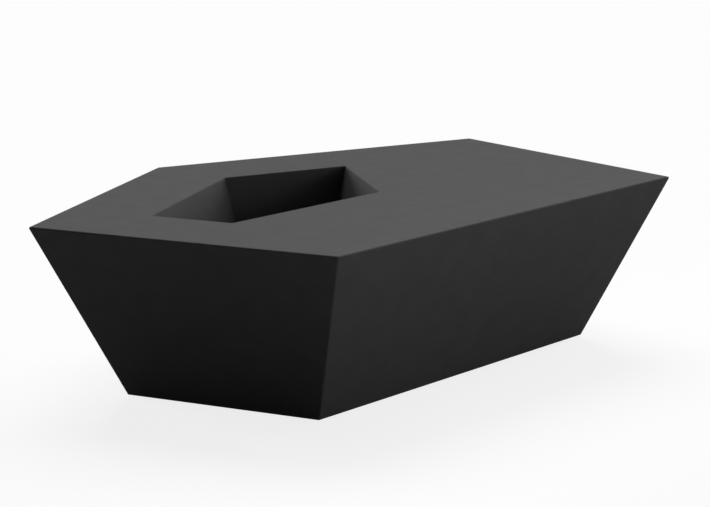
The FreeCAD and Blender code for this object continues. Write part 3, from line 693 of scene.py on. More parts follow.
@dataclass(frozen=True)
class MouldedRubber(Finish):
    """EPDM rubber, compression moulded: soft black with a patchy grey bloom and almost no shine."""
    patch_colour: str = "3b3b3a"
    patches: Layer = Layer(7.0, 4.0, 0.65)
    patch_range: tuple[float, float] = (0.42, 0.72)
    patch_amount: float = 0.8
    relief: tuple[Layer, ...] = (Layer(0.9, 2.0, depth=0.05, strength=0.3),)
    swing: tuple[float, float] = (-0.1, 0.0)
    swings_with_patches: bool = True


@dataclass(frozen=True)
class ClosedCellFoam(Finish):
    """Closed-cell EPDM foam cut from sheet: a skinless face pitted with cut cells, with painted shade at
    their bottoms.

    The real cells are about half a millimetre, drawn at 1.1 mm so that they show.
    """
    # The patch colour is painted shade: it darkens each cut cell towards its middle, the bottom of the pit
    patch_colour: str = "131313"
    patches: Layer = Layer(1.1)
    patch_range: tuple[float, float] = (0.6, 0.0)
    relief: tuple[Layer, ...] = (Layer(1.1, depth=0.2, strength=0.5),)

    def lumps(self, tree: Tree, place: Socket | Node, layer: Layer) -> Node:
        """Adds the cells, as the distance from each cell's middle."""
        return add_node(tree, "ShaderNodeTexVoronoi", {"Vector": place, "Scale": per_metre(layer.width)})


class Lay(Enum):
    """The direction that the marks of a metal surface run in."""
    TURNED = "rings about a centre"
    BRUSHED = "straight lines"
    NONE = "no direction"


def tool_marks(width: float, octaves: float = 3.0, harshness: float = 0.6) -> tuple[Layer, ...]:
    """Returns the relief of tool marks that are this wide, in millimetres."""
    return (Layer(width, octaves, harshness, depth=0.02, strength=0.25),)


@dataclass(frozen=True)
class WorkedMetal(Finish):
    """A metal that keeps the marks of how it was made, turned, brushed or plated, under slow weather stains.

    Brushed marks are longer than wide by the factor brushed_length. Turned marks are rings about the drain,
    0.8 mm apart so that they show, and a little wavy. The marks are 0.02 mm deep.
    """
    metallic: float = 1.0
    patch_colour: str = "8d8a84"
    patches: Layer = Layer(9.0, 3.0)
    patch_range: tuple[float, float] = (0.45, 0.7)
    patch_amount: float = 0.5
    swing: tuple[float, float] = (-0.06, 0.08)
    lay: Lay = Lay.NONE
    brushed_length: float = 25.0
    ring_waver: float = 1.5
    waver_scale: float = 2.0

    def lumps(self, tree: Tree, place: Socket | Node, layer: Layer) -> Socket | Node:
        """Adds the tool marks in their direction, or the stains.

        Formula: a wave texture's rings are 20 / (2 pi) units apart at a scale of 1.

        Args:
            tree: the material's node tree.
            place: the coordinates, in metres.
            layer: the layer, the patches being the stains.

        Returns:
            The pattern's value, 0 to 1.
        """
        if layer is self.patches or self.lay is Lay.NONE:
            return super().lumps(tree, place, layer)
        if self.lay is Lay.BRUSHED:
            drawn = add_node(tree, "ShaderNodeMapping", {"Vector": place,
                                                         "Scale": (1 / self.brushed_length, 1.0, 1.0)})
            return super().lumps(tree, drawn, layer)
        middle = (-DRAIN_SPOT[0] * MM, -DRAIN_SPOT[1] * MM, 0.0)
        centred = add_node(tree, "ShaderNodeMapping", {"Vector": place, "Location": middle})
        scale = per_metre(layer.width) * math.tau / 20
        rings = add_node(tree, "ShaderNodeTexWave", {"Vector": centred, "Scale": scale,
                                                     "Distortion": self.ring_waver, "Detail": layer.octaves,
                                                     "Detail Scale": self.waver_scale},
                         wave_type="RINGS", rings_direction="Z")
        return rings.outputs["Fac"]


SHELL_POLYETHYLENE = MouldedPolyethylene("rotomoulded_polyethylene", "4e4e4e", roughness=0.7, specular=0.02)
COVER_POLYPROPYLENE = MouldedPolypropylene("moulded_polypropylene", "323334", roughness=0.45, ior=1.49)
PIPE_POLYPROPYLENE = MouldedPolypropylene("grey_pipe_polypropylene", "7c7e80", roughness=0.4, ior=1.49,
                                          patch_colour="86888a")
PAD_NYLON = MouldedNylon("glass_filled_nylon", "37383a", roughness=0.55, ior=1.53)
# Drawn through a die, which leaves it smooth and bright
RING_WIRE = WorkedMetal("drawn_stainless_wire", "d0cecb", roughness=0.2, relief=tool_marks(2.0))
# Spun and turned, which breaks its shine into fine rings
SPUN_STAINLESS = WorkedMetal("spun_stainless_steel", "cbc9c5", roughness=0.28, lay=Lay.TURNED,
                             relief=tool_marks(0.8, 2.0))
# Brushed on a belt, which draws its shine out across the lines
STAINLESS = WorkedMetal("brushed_stainless_steel", "cbc9c5", roughness=0.28, lay=Lay.BRUSHED,
                        relief=tool_marks(0.5, 2.0, 0.7))
# Zinc over steel, passivated, which is a cold grey with a cloudy shine
ZINC_PLATE = WorkedMetal("zinc_plated_steel", "c5c8cc", roughness=0.34, patch_colour="9c9d9b",
                         relief=tool_marks(1.2))
# Brass as it leaves the lathe, warm, and dulled by tarnish
TURNED_BRASS = WorkedMetal("turned_brass", "d9b45f", roughness=0.3, patch_colour="a27f3d",
                           relief=tool_marks(0.6))
STOPPER_RUBBER = MouldedRubber("moulded_rubber", "1f1f1f", roughness=0.75, specular=0.35)
SEAL_FOAM = ClosedCellFoam("closed_cell_foam", "2a2a2a", roughness=0.9, specular=0.25)


# The table's sub-assemblies

def dress_nodes(finishes: dict[str, Finish]) -> None:
    """Gives CAD nodes that keep their shape a finish each, and reports them.

    Args:
        finishes: what each node is made of.
    """
    for name, finish in finishes.items():
        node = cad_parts[name]
        node.data.materials.clear()
        node.data.materials.append(finish.material())
        LOG.info("%s: CAD shape, %s", name, finish.name)


def stand_for(piece: bpy.types.Object, node: str, body: str) -> None:
    """Puts a finished piece in a CAD node's place, and reports it.

    Args:
        piece: the piece, in the frame.
        node: the CAD node that it stands for.
        body: the body that it rides on.
    """
    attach(piece, body)
    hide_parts(node)
    LOG.info("%s: %d faces for %s on %s", piece.name, len(piece.data.polygons), node, body)


@dataclass(frozen=True)
class TableShell:
    """The one hollow moulding that is deck, walls, bucket and base. Its sizes are in millimetres.

    Each surface is a family of loops in plan: pentagons inside the deck's outline for the walls and the base,
    pentagons inside the mouth's outline for the bucket, and circles about the drain, the vent and the glides.
    """
    deck: Pentagon = Pentagon(DECK_CORNERS)
    mouth: Pentagon = Pentagon(PLAN.mouth())
    # The block and its bucket
    height: float = PLAN.deck_level
    wall_draft: float = PLAN.wall_draft
    edge_radius: float = 3.0
    skin: float = 6.0
    bucket_depth: float = 250.0
    bucket_draft: float = 15.0
    rim_radius: float = 2.5
    # The base: a band round a raised panel
    bottom: float = PLAN.base_level
    panel: float = 10.0
    band: float = 85.0
    step_radius: float = 1.0
    step_corner: float = 4.0
    step_arc_steps: int = 4
    # A glide's well, the bore in its roof for the insert, and the boss round that
    well_radius: float = 25.0
    well_roof: float = 18.0
    insert_rim: float = 9.05
    insert_seat: float = 19.5
    insert_bore: float = 7.05
    insert_end: float = 46.0
    insert_boss: float = 15.0
    # The access cover's rebate and hole, and the bores for its screws' inserts
    rebate_radius: float = 96.0
    rebate_depth: float = 5.5
    access_radius: float = 75.0
    screw_count: int = 6
    screw_circle: float = 85.0
    screw_bore: float = 4.05
    screw_boss: float = 9.4
    screw_depth: float = 12.0
    # The sump round the drain, and the vent
    sump_radius: float = 44.0
    sump_depth: float = 6.0
    drain_radius: float = 21.25
    vent_radius: float = 5.0
    # The mesh: its steps, the sides of its circles, and the level strips beside arcs, which keep their
    # shading in them
    deck_steps: int = 24
    wall_steps: int = 12
    cover_sides: int = 120
    drain_sides: int = 96
    well_sides: int = 64
    boss_sides: int = 48
    vent_sides: int = 32
    screw_sides: int = 24
    screw_boss_sides: int = 32
    strip: float = 2.0
    step_strip: float = 1.5
    mouth_strip: float = 2.7
    rebate_strip: float = 2.3
    roof_strip: float = 3.5
    sump_strip: float = 2.5

    def wall_gap(self, level: float) -> float:
        """Returns how far in from the deck's outline the drafted wall is at a level."""
        return (self.height - level) * math.tan(math.radians(self.wall_draft))

    def bucket_gap(self, level: float) -> float:
        """Returns how far in from the mouth's outline the bucket's drafted wall is at a level."""
        return (self.height - level) * math.tan(math.radians(self.bucket_draft))

    def bucket_floor(self) -> float:
        """Returns the level of the bucket's floor."""
        return self.height - self.bucket_depth

    def rings(self, skin: Skin, family: Pentagon, rows: np.ndarray, radii: np.ndarray) -> list[np.ndarray]:
        """Adds a pentagon for each row of gap and level, and joins them in order.

        Args:
            skin: the surface that gets them.
            family: the outline that they lie in.
            rows: gap and level of each.
            radii: corner radius of each.

        Returns:
            The loops' point numbers.
        """
        loops = [skin.loop(family.ring(gap, radius), level) for (gap, level), radius in zip(rows, radii)]
        skin.chain(*loops)
        return loops

    def straight(self, start: Sequence[float], end: Sequence[float]) -> np.ndarray:
        """Draws the rows between two others, even but for one close to each end, which holds its shading.

        Args:
            start: gap and level of the row before them.
            end: gap and level of the row after them.

        Returns:
            Gap and level of each row.
        """
        start, end = np.array(start), np.array(end)
        close = self.deck.hold / np.linalg.norm(end - start)
        share = np.concatenate([[close], np.linspace(0, 1, self.wall_steps + 1)[1:-1], [1 - close]])
        return start + (end - start) * share[:, None]

    def outer_walls(self, skin: Skin) -> list[np.ndarray]:
        """Makes the deck's outer edge, the walls and the base's edge.

        Formula: both edges are arcs in section, tangent to the wall that leans in by its draft. Where an arc
        meets a corner, the plan radius is the arc's own reach, as a ball rolling round the corner leaves it.

        Args:
            skin: the surface that gets them.

        Returns:
            The loops from the deck to the base.
        """
        lean, r = self.wall_draft, self.edge_radius
        cosine = math.cos(math.radians(lean))
        top_level, low_level = self.height - r, self.bottom + r
        top = bend(self.wall_gap(top_level) + r / cosine, top_level, r, 90, 180 + lean)
        low = bend(self.wall_gap(low_level) + r / cosine, low_level, r, 180 + lean, 270)
        wall = self.straight(top[-1], low[0])
        rows = np.concatenate([[top[0] + (self.strip, 0)], top, wall, low,
                               [low[-1] + (self.deck.hold, 0)]])
        radii = np.concatenate([[SHARPEST], rolled(r, 90, 180 + lean), np.full(len(wall), r * cosine),
                                rolled(r, 180 + lean, 270), [SHARPEST]])
        return self.rings(skin, self.deck, rows, radii)

    def bucket(self, skin: Skin) -> list[np.ndarray]:
        """Makes the bucket from the deck round its rim down to its floor.

        Formula: the rim's arc runs from level to the drafted wall, and the floor's arc from the wall to
        level. Outside the wall the corners' plan radius grows by as much as the loop lies further out.

        Args:
            skin: the surface that gets it.

        Returns:
            The loops from the deck to the floor.
        """
        lean, r, low_r = self.bucket_draft, self.rim_radius, self.edge_radius
        cosine = math.cos(math.radians(lean))
        rim_level, low_level = self.height - r, self.bucket_floor() + low_r
        rim = bend(self.bucket_gap(rim_level) - r / cosine, rim_level, r, 90, lean)
        low = bend(self.bucket_gap(low_level) + low_r / cosine, low_level, low_r, 180 + lean, 270)
        wall = self.straight(rim[-1], low[0])
        rows = np.concatenate([[rim[0] - (self.strip, 0)], rim, wall, low, [low[-1] + (self.strip, 0)]])
        corner = low_r * cosine
        outside = corner + rim[-1, 0] - rim[:, 0]
        radii = np.concatenate([[outside[0] + self.strip], outside, np.full(len(wall), corner),
                                rolled(low_r, 180 + lean, 270), [SHARPEST]])
        return self.rings(skin, self.mouth, rows, radii)

    def deck_top(self, skin: Skin, inner: np.ndarray, outer: np.ndarray) -> None:
        """Fills the deck between the bucket's rim and the outer edge.

        Formula: both loops have matching points p and q, and the loops between are p (1 - t) + q t.

        Args:
            skin: the surface that gets it.
            inner: the rim's first loop.
            outer: the outer edge's first loop.
        """
        every = np.concatenate(skin.points)[:, :2]
        share = np.linspace(0, 1, self.deck_steps + 1)[1:-1]
        between = [skin.loop(every[inner] * (1 - t) + every[outer] * t, self.height) for t in share]
        skin.chain(inner, *between, outer)

    def base(self, skin: Skin, edge: np.ndarray) -> tuple[np.ndarray, np.ndarray]:
        """Makes the base: a band with the five glide wells, and the raised panel with rebate and vent.

        Args:
            skin: the surface that gets it.
            edge: the walls' last loop.

        Returns:
            The loops where the access hole and the vent open inside.
        """
        inset, r = self.wall_gap(self.bottom) + self.band, self.step_radius
        rise = bend(inset - r, self.bottom + r, r, 270, 360, self.step_arc_steps)
        fall = bend(inset + r, self.panel - r, r, 180, 90, self.step_arc_steps)
        rows = np.concatenate([[rise[0] - (self.step_strip, 0)], rise, fall,
                               [fall[-1] + (self.step_strip, 0)]])
        step = self.rings(skin, self.deck, rows, np.full(len(rows), self.step_corner))
        skin.floor(edge, [step[0], *(self.glide_well(skin, spot) for spot in GLIDE_SPOTS.values())])
        rebate, tube = self.rebate(skin)
        vent = skin.revolve(soft_line([
            (self.vent_radius + self.step_strip, self.panel, 0), (self.vent_radius, self.panel, 0.5),
            (self.vent_radius, self.panel + self.skin, 0)]), VENT_SPOT, self.vent_sides)
        skin.floor(step[-1], [rebate, vent[0]])
        return tube, vent[-1]

    def glide_well(self, skin: Skin, spot: Sequence[float]) -> np.ndarray:
        """Makes one glide's well, with the bore for its brass insert.

        Args:
            skin: the surface that gets it.
            spot: where it stands in plan.

        Returns:
            The loop at the band.
        """
        loops = skin.revolve(soft_line([
            (self.well_radius + self.mouth_strip, self.bottom, 0), (self.well_radius, self.bottom, 1.5),
            (self.well_radius, self.well_roof, 1.0), (self.well_radius - self.roof_strip, self.well_roof, 0),
            (self.insert_rim, self.well_roof, 0), (self.insert_rim, self.insert_seat, 0),
            (self.insert_bore, self.insert_seat, 0),
            (self.insert_bore, self.insert_end, 0)]), spot, self.well_sides)
        skin.close(loops[-1])
        return loops[0]

    def bores(self, skin: Skin, radius: float, start: float, steps: int) -> list[np.ndarray]:
        """Makes blind bores, or the bosses round them, at the cover's screws.

        Args:
            skin: the surface that gets them.
            radius: their radius.
            start: the level that they start at.
            steps: how many sides they have.

        Returns:
            The loops at their start.
        """
        line = np.array([(radius, start), (radius, start + self.screw_depth)])
        spots = circle(self.screw_circle, DRAIN_SPOT, self.screw_count)
        loops = [skin.revolve(line, spot, steps) for spot in spots]
        for bore in loops:
            skin.close(bore[-1])
        return [bore[0] for bore in loops]

    def rebate(self, skin: Skin) -> tuple[np.ndarray, np.ndarray]:
        """Makes the rebate for the access cover, with the insert bores in its roof, and the access hole.

        Args:
            skin: the surface that gets it.

        Returns:
            The loop at the panel, and the loop where the access hole opens inside.
        """
        radius, roof = self.rebate_radius, self.panel + self.rebate_depth
        wall = skin.revolve(soft_line([
            (radius + self.rebate_strip, self.panel, 0), (radius, self.panel, 0.8),
            (radius, roof, 0.8), (radius - self.strip, roof, 0)]), DRAIN_SPOT, self.cover_sides)
        hole = skin.revolve(np.array([(self.access_radius, roof), (self.access_radius, roof + self.skin)]),
                            DRAIN_SPOT, self.cover_sides)
        skin.floor(wall[-1], [hole[0], *self.bores(skin, self.screw_bore, roof, self.screw_sides)])
        return wall[0], hole[-1]

    def sump(self, skin: Skin) -> tuple[np.ndarray, np.ndarray]:
        """Makes the sump in the bucket's floor and the drain's hole, down to the bucket's underside.

        Args:
            skin: the surface that gets it.

        Returns:
            The loop at the bucket's floor, and the last loop of the hole.
        """
        radius, floor = self.sump_radius, self.bucket_floor()
        sunk = floor - self.sump_depth
        loops = skin.revolve(soft_line([
            (radius + self.mouth_strip, floor, 0), (radius, floor, 1.2), (radius, sunk, 1.0),
            (radius - self.sump_strip, sunk, 0), (self.drain_radius, sunk, 0),
            (self.drain_radius, sunk - self.skin, 0)]), DRAIN_SPOT, self.drain_sides)
        return loops[0], loops[-1]

    def lining(self, skin: Skin, tube: np.ndarray, vent: np.ndarray, drain: np.ndarray) -> None:
        """Makes the hollow's own side: base, walls and deck one skin inside the outer ones, with its bosses.

        Args:
            skin: the surface that gets it.
            tube: where the access hole opens inside.
            vent: where the vent opens inside.
            drain: where the drain's hole opens inside.
        """
        low, high = self.panel + self.skin, self.height - self.skin
        over = self.skin / math.cos(math.radians(self.wall_draft))
        rows = np.array([(self.wall_gap(low) + over, low), (self.wall_gap(high) + over, high)])
        walls = self.rings(skin, self.deck, rows, np.full(2, self.edge_radius))
        foot, roof = self.well_radius + self.skin, self.well_roof + self.skin
        boss = np.array([(foot, low), (foot, roof), (self.insert_boss, roof),
                         (self.insert_boss, self.insert_end + self.skin)])
        wells = []
        for spot in GLIDE_SPOTS.values():
            loops = skin.revolve(boss, spot, self.boss_sides)
            skin.close(loops[-1])
            wells.append(loops[0])
        ledge = low + self.rebate_depth
        outer = self.rebate_radius + self.skin
        collar = skin.revolve(np.array([(outer, low), (outer, ledge)]), DRAIN_SPOT, self.cover_sides)
        bosses = self.bores(skin, self.screw_boss, ledge, self.screw_boss_sides)
        skin.floor(walls[0], [collar[0], vent, *wells])
        skin.floor(collar[-1], [tube, *bosses])
        under = self.skin / math.cos(math.radians(self.bucket_draft))
        deep = self.bucket_floor() - self.skin
        rows = np.array([(self.bucket_gap(high) - under, high), (self.bucket_gap(deep) - under, deep)])
        tub = self.rings(skin, self.mouth, rows, np.full(2, self.edge_radius + self.skin))
        skin.floor(walls[-1], [tub[0]])
        outer = self.sump_radius + self.skin
        rim = np.array([(outer, deep), (outer, deep - self.skin)])
        swell = skin.revolve(rim, DRAIN_SPOT, self.drain_sides)
        skin.floor(tub[-1], [swell[0]])
        skin.chain(swell[-1], drain)

    def build(self) -> None:
        """Makes the moulding in place of its CAD node."""
        skin = Skin()
        walls = self.outer_walls(skin)
        bucket = self.bucket(skin)
        self.deck_top(skin, bucket[0], walls[0])
        sump, drain = self.sump(skin)
        skin.floor(bucket[-1], [sump])
        self.lining(skin, *self.base(skin, walls[-1]), drain)
        stand_for(skin.piece("moulded_table_shell", SHELL_POLYETHYLENE), "table_shell", "table")


@dataclass(frozen=True)
class Drain:
    """The drain under the bucket: flanged body, seals, nut, strainer, tail pipe, and the stopper on its ring.

    Its sizes are in millimetres, and its levels stand above the floor.
    """
    flange_top: float = 109.5
    flange_under: float = 105.5
    flange_radius: float = 40.0
    stem_radius: float = 21.0
    stem_end: float = 72.5
    # The stem's chamfer, its plain neck under the flange, and its thread with the plain ends beside it
    chamfer_width: float = 0.8
    chamfer_height: float = 1.1
    stem_neck: float = 2.0
    stem_pitch: float = 2.309
    thread_depth: float = 1.0
    thread_lead: float = 1.0
    thread_runout: float = 3.0
    thread_rows: int = 112
    # The stopper's seat, the strainer's shelf, and the tail pipe with its band
    seat_radius: float = 17.0
    shelf_top: float = 92.5
    shelf_under: float = 88.5
    bore_radius: float = 13.5
    pipe_radius: float = 16.0
    pipe_fit: float = 0.05
    pipe_wall: float = 2.5
    pipe_end: float = 7.0
    band_start: float = 9.0
    band_width: float = 2.0
    band_slope: float = 0.6
    band_depth: float = 0.25
    # The grooves in the flange and the cap: outer radius, inner radius, depth, and the corner radii at the
    # lips and at the bottom
    flange_groove: tuple[float, ...] = (36.5, 33.0, 0.5, 0.6, 0.5)
    cap_groove: tuple[float, ...] = (20.0, 17.6, 0.4, 0.4, 0.3)
    # The stopper's cap, and its tapered plug with the ribs and the hollow under it
    cap_radius: float = 23.0
    cap_height: float = 5.0
    plug_end: float = 97.5
    plug_fit: float = 0.3
    plug_taper: float = 6.0
    hollow_radius: float = 9.0
    hollow_slope: float = 1.0
    hollow_depth: float = 1.5
    rib_levels: tuple[float, ...] = (100.5, 104.0)
    rib_height: float = 0.4
    rib_half: float = 0.9
    rib_crest: float = 0.3
    # The lug on the cap, its depth being half its thickness, and the ring through its eye, whose joint's
    # place is in radians round the ring
    lug_half: float = 4.5
    lug_depth: float = 2.5
    lug_rise: float = 5.9
    lug_root: float = 1.5
    lug_steps: int = 12
    lug_round: float = 3.2
    lug_bevel: float = 0.5
    lug_face: float = 0.88
    eye_radius: float = 2.1
    eye_flare: float = 0.3
    eye_bevel: float = 0.4
    ring_radius: float = 13.0
    ring_wire: float = 3.0
    ring_level: float = 116.3
    ring_steps: int = 240
    wire_steps: int = 20
    joint_place: float = 0.5
    joint_dip: float = 0.35
    joint_width: float = 0.3
    # The mesh: the sides of its circles, and how far from the axis the fans start that close its ends
    sides: int = 96
    pipe_sides: int = 72
    hub: float = 2.0

    def body(self) -> None:
        """Spins the flanged body, with a grooved flange, the strainer's shelf and a threaded stem."""
        top, under, rim = self.flange_top, self.flange_under, self.flange_radius
        stem, end, socket = self.stem_radius, self.stem_end, self.pipe_radius + self.pipe_fit
        thread = helix(self.stem_pitch, self.thread_depth, end + self.thread_lead, under - self.thread_runout)
        profile = [
            (stem, under, 0), (rim, under, 0.8), (rim, top, 1.8), *groove(top, *self.flange_groove),
            (self.seat_radius, top, 0.8), (self.seat_radius, self.shelf_top, 0.2),
            (self.bore_radius, self.shelf_top, 0.3), (self.bore_radius, self.shelf_under, 0.2),
            (socket, self.shelf_under, 0), (socket, end, 0.3), (stem - self.chamfer_width, end, 0.3),
            *levels(end + self.chamfer_height, under - self.stem_neck, stem, self.thread_rows)]
        skin = turned(profile, DRAIN_SPOT, self.sides,
                      lambda a, r, h: thread(a, r, h) * (np.abs(r - stem) < HAIR), bored=True)
        stand_for(skin.piece("spun_drain_body", SPUN_STAINLESS), "drain_body", "table")

    def pipe(self) -> None:
        """Draws the tail pipe, with its rounded end and a shallow band from the extruder."""
        low, high = self.pipe_end, self.shelf_under
        outer, inner = self.pipe_radius, self.pipe_radius - self.pipe_wall
        start, sunk = low + self.band_start, outer - self.band_depth
        end = start + self.band_width
        profile = [(inner, low, 0), (outer, low, 1.0), (outer, start, 0), (sunk, start + self.band_slope, 0),
                   (sunk, end - self.band_slope, 0), (outer, end, 0), (outer, high, 0.5), (inner, high, 0.5)]
        skin = turned(profile, DRAIN_SPOT, self.pipe_sides, bored=True)
        stand_for(skin.piece("drawn_tail_pipe", PIPE_POLYPROPYLENE), "tail_pipe", "table")

    def stopper(self) -> None:
        """Moulds the stopper: a grooved cap, a plug with two sealing ribs, and the lug for the ring."""
        top, cap, end = self.flange_top, self.flange_top + self.cap_height, self.plug_end
        plug = self.seat_radius - self.plug_fit
        taper = math.tan(math.radians(self.plug_taper))

        def wall(level: float) -> float:
            """Returns the tapered plug's radius at a level."""
            return plug - (top - level) * taper

        foot, crest, height = self.rib_half, self.rib_crest, self.rib_height
        ribs = [(wall(level) + out, level + side, 0.25) for level in self.rib_levels
                for side, out in ((-foot, 0), (-crest, height), (crest, height), (foot, 0))]
        hollow, sunk = self.hollow_radius, end + self.hollow_depth
        skin = turned([
            (self.hub, sunk, 0), (hollow, sunk, 0.8), (hollow + self.hollow_slope, end, 0.6),
            (wall(end), end, 1.0), *ribs, (wall(top), top, 0.3), (self.cap_radius, top, 0.5),
            (self.cap_radius, cap, 1.8), *groove(cap, *self.cap_groove), (self.hub, cap, 0)],
            DRAIN_SPOT, self.sides)
        self.lug(skin, cap)
        stand_for(skin.piece("moulded_drain_stopper", STOPPER_RUBBER), "drain_stopper", "stopper")

    def lug(self, skin: Skin, cap: float) -> None:
        """Adds the lug with its eye, as loops from one face over the outline to the other and back inside.

        Formula: the outline and the eye have as many points, at the same angles about the eye's centre. The
        faces' loops are the outline scaled by lug_face about the eye, which leaves a small bevel, and the
        last loops are the eye's own.

        Args:
            skin: the surface that gets it.
            cap: the cap's top, which the lug's foot goes into.
        """
        half, crown, foot = self.lug_half, cap + self.lug_rise, cap - self.lug_root
        corners = np.array([(half, foot), (half, crown), (-half, crown), (-half, foot)])
        radii = np.array([0.3, self.lug_round, self.lug_round, 0.3])
        outline = corner_arcs(looped(corners), radii, self.lug_steps).reshape(-1, 2)
        eye = np.array([0.0, self.ring_level])
        angle = np.arctan2(outline[:, 1] - eye[1], outline[:, 0] - eye[0])
        round_eye = np.stack([np.cos(angle), np.sin(angle)], axis=1)
        face = (outline - eye) * self.lug_face + eye
        bore = eye + round_eye * self.eye_radius
        flare = eye + round_eye * (self.eye_radius + self.eye_flare)
        lines = np.stack([face, outline, outline, face, flare, bore, bore, flare])
        side = self.lug_depth
        inner, deep = side - self.lug_bevel, side - self.eye_bevel
        depths = np.array([-side, -inner, inner, side, side, deep, -deep, -side])
        y = np.broadcast_to((DRAIN_SPOT[1] + depths)[:, None], lines.shape[:2])
        loops = skin.grid(DRAIN_SPOT[0] + lines[..., 0], y, lines[..., 1])
        skin.chain(loops[-1], loops[0])

    def ring(self) -> None:
        """Bends the ring from wire, with the butt joint where its ends meet.

        Formula: a torus, x = (R + w cos v) cos u, y = (R + w cos v) sin u, z = w sin v, where the wire's
        radius w dips as exp(-s^2) at the joint, s being the distance from it in joint widths.
        """
        u, v = (np.arange(steps) * math.tau / steps for steps in (self.ring_steps, self.wire_steps))
        away = np.abs(u - self.joint_place) * self.ring_radius / self.joint_width
        wire = self.ring_wire / 2 - self.joint_dip * np.exp(-(away ** 2))
        reach = self.ring_radius + wire[:, None] * np.cos(v)
        skin = Skin()
        loops = skin.grid(DRAIN_SPOT[0] + self.ring_radius + reach * np.cos(u)[:, None],
                          DRAIN_SPOT[1] + reach * np.sin(u)[:, None],
                          self.ring_level + wire[:, None] * np.sin(v))
        skin.chain(loops[-1], loops[0])
        stand_for(skin.piece("bent_stopper_ring", RING_WIRE, 60.0), "stopper_ring", "ring")

    def build(self) -> None:
        """Makes the drain's visible pieces and dresses the others."""
        self.body()
        self.pipe()
        self.stopper()
        self.ring()
        dress_nodes({"strainer": STAINLESS, "drain_gasket": SEAL_FOAM, "drain_washer": PAD_NYLON,
                     "drain_locknut": PAD_NYLON})


@dataclass(frozen=True)
class BasePlate:
    """What closes the base: access cover, gasket, screws and their inserts, pipe grommet and vent plug.

    Its sizes are in millimetres.
    """
    panel: float = TableShell.panel
    cover_height: float = 4.0
    pipe_radius: float = Drain.pipe_radius + Drain.pipe_fit
    groove_radius: float = 20.95
    lip_radius: float = 25.0
    lip_slope: float = 1.6
    bead: float = 2.0
    # The vent plug, its levels standing above or below the base's panel
    plug_radius: float = 4.5
    head_radius: float = 8.0
    head_drop: float = 2.0
    head_slope: float = 1.6
    head_edge: float = 0.6
    dish_slope: float = 0.7
    dish_depth: float = 0.6
    barb_radius: float = 5.0
    barb_start: float = 6.3
    barb_rise: float = 0.3
    barb_taper: float = 0.7
    plug_rise: float = 8.3
    # The mesh: the sides of its circles, and how far from the axis the fans start that close its ends
    grommet_sides: int = 72
    plug_sides: int = 48
    hub: float = 1.0

    def grommet(self) -> None:
        """Moulds the grommet: a lip on either side of the cover, with a groove between them for its edge."""
        low, high, bore = self.panel, self.panel + self.cover_height, self.pipe_radius
        under, over, lip, edge = low - self.bead, high + self.bead, self.lip_radius, self.groove_radius
        crown = lip - self.lip_slope
        profile = [(bore, under, 0), (crown, under, 1.4), (lip, low, 0.4), (edge, low, 0.2),
                   (edge, high, 0.2), (lip, high, 0.4), (crown, over, 1.4), (bore, over, 0.5),
                   (bore, high, 0)]
        skin = turned(profile, DRAIN_SPOT, self.grommet_sides, bored=True)
        stand_for(skin.piece("moulded_pipe_grommet", STOPPER_RUBBER), "pipe_grommet", "table")

    def vent_plug(self) -> None:
        """Moulds the vent plug: a low head with a sunk middle, a shank and a barb that snaps in."""
        panel, shank, head, barb = self.panel, self.plug_radius, self.head_radius, self.barb_radius
        face, end = panel - self.head_drop, panel + self.plug_rise
        sunk, snap = face + self.dish_depth, panel + self.barb_start
        profile = [(self.hub, sunk, 0), (shank, sunk, 0.5), (shank + self.dish_slope, face, 0.4),
                   (head - self.head_slope, face, 0.8), (head, panel - self.head_edge, 0.6),
                   (head, panel, 0.2), (shank, panel, 0.3), (shank, snap, 0.2),
                   (barb, snap + self.barb_rise, 0.2), (barb - self.barb_taper, end, 0.5), (self.hub, end, 0)]
        skin = turned(profile, VENT_SPOT, self.plug_sides)
        stand_for(skin.piece("moulded_vent_plug", COVER_POLYPROPYLENE), "vent_plug", "table")

    def build(self) -> None:
        """Makes the grommet and the plug, and dresses the others."""
        self.grommet()
        self.vent_plug()
        dress_nodes({"access_cover": COVER_POLYPROPYLENE, "cover_gasket": SEAL_FOAM,
                     "cover_screws": STAINLESS, "cover_inserts": TURNED_BRASS})


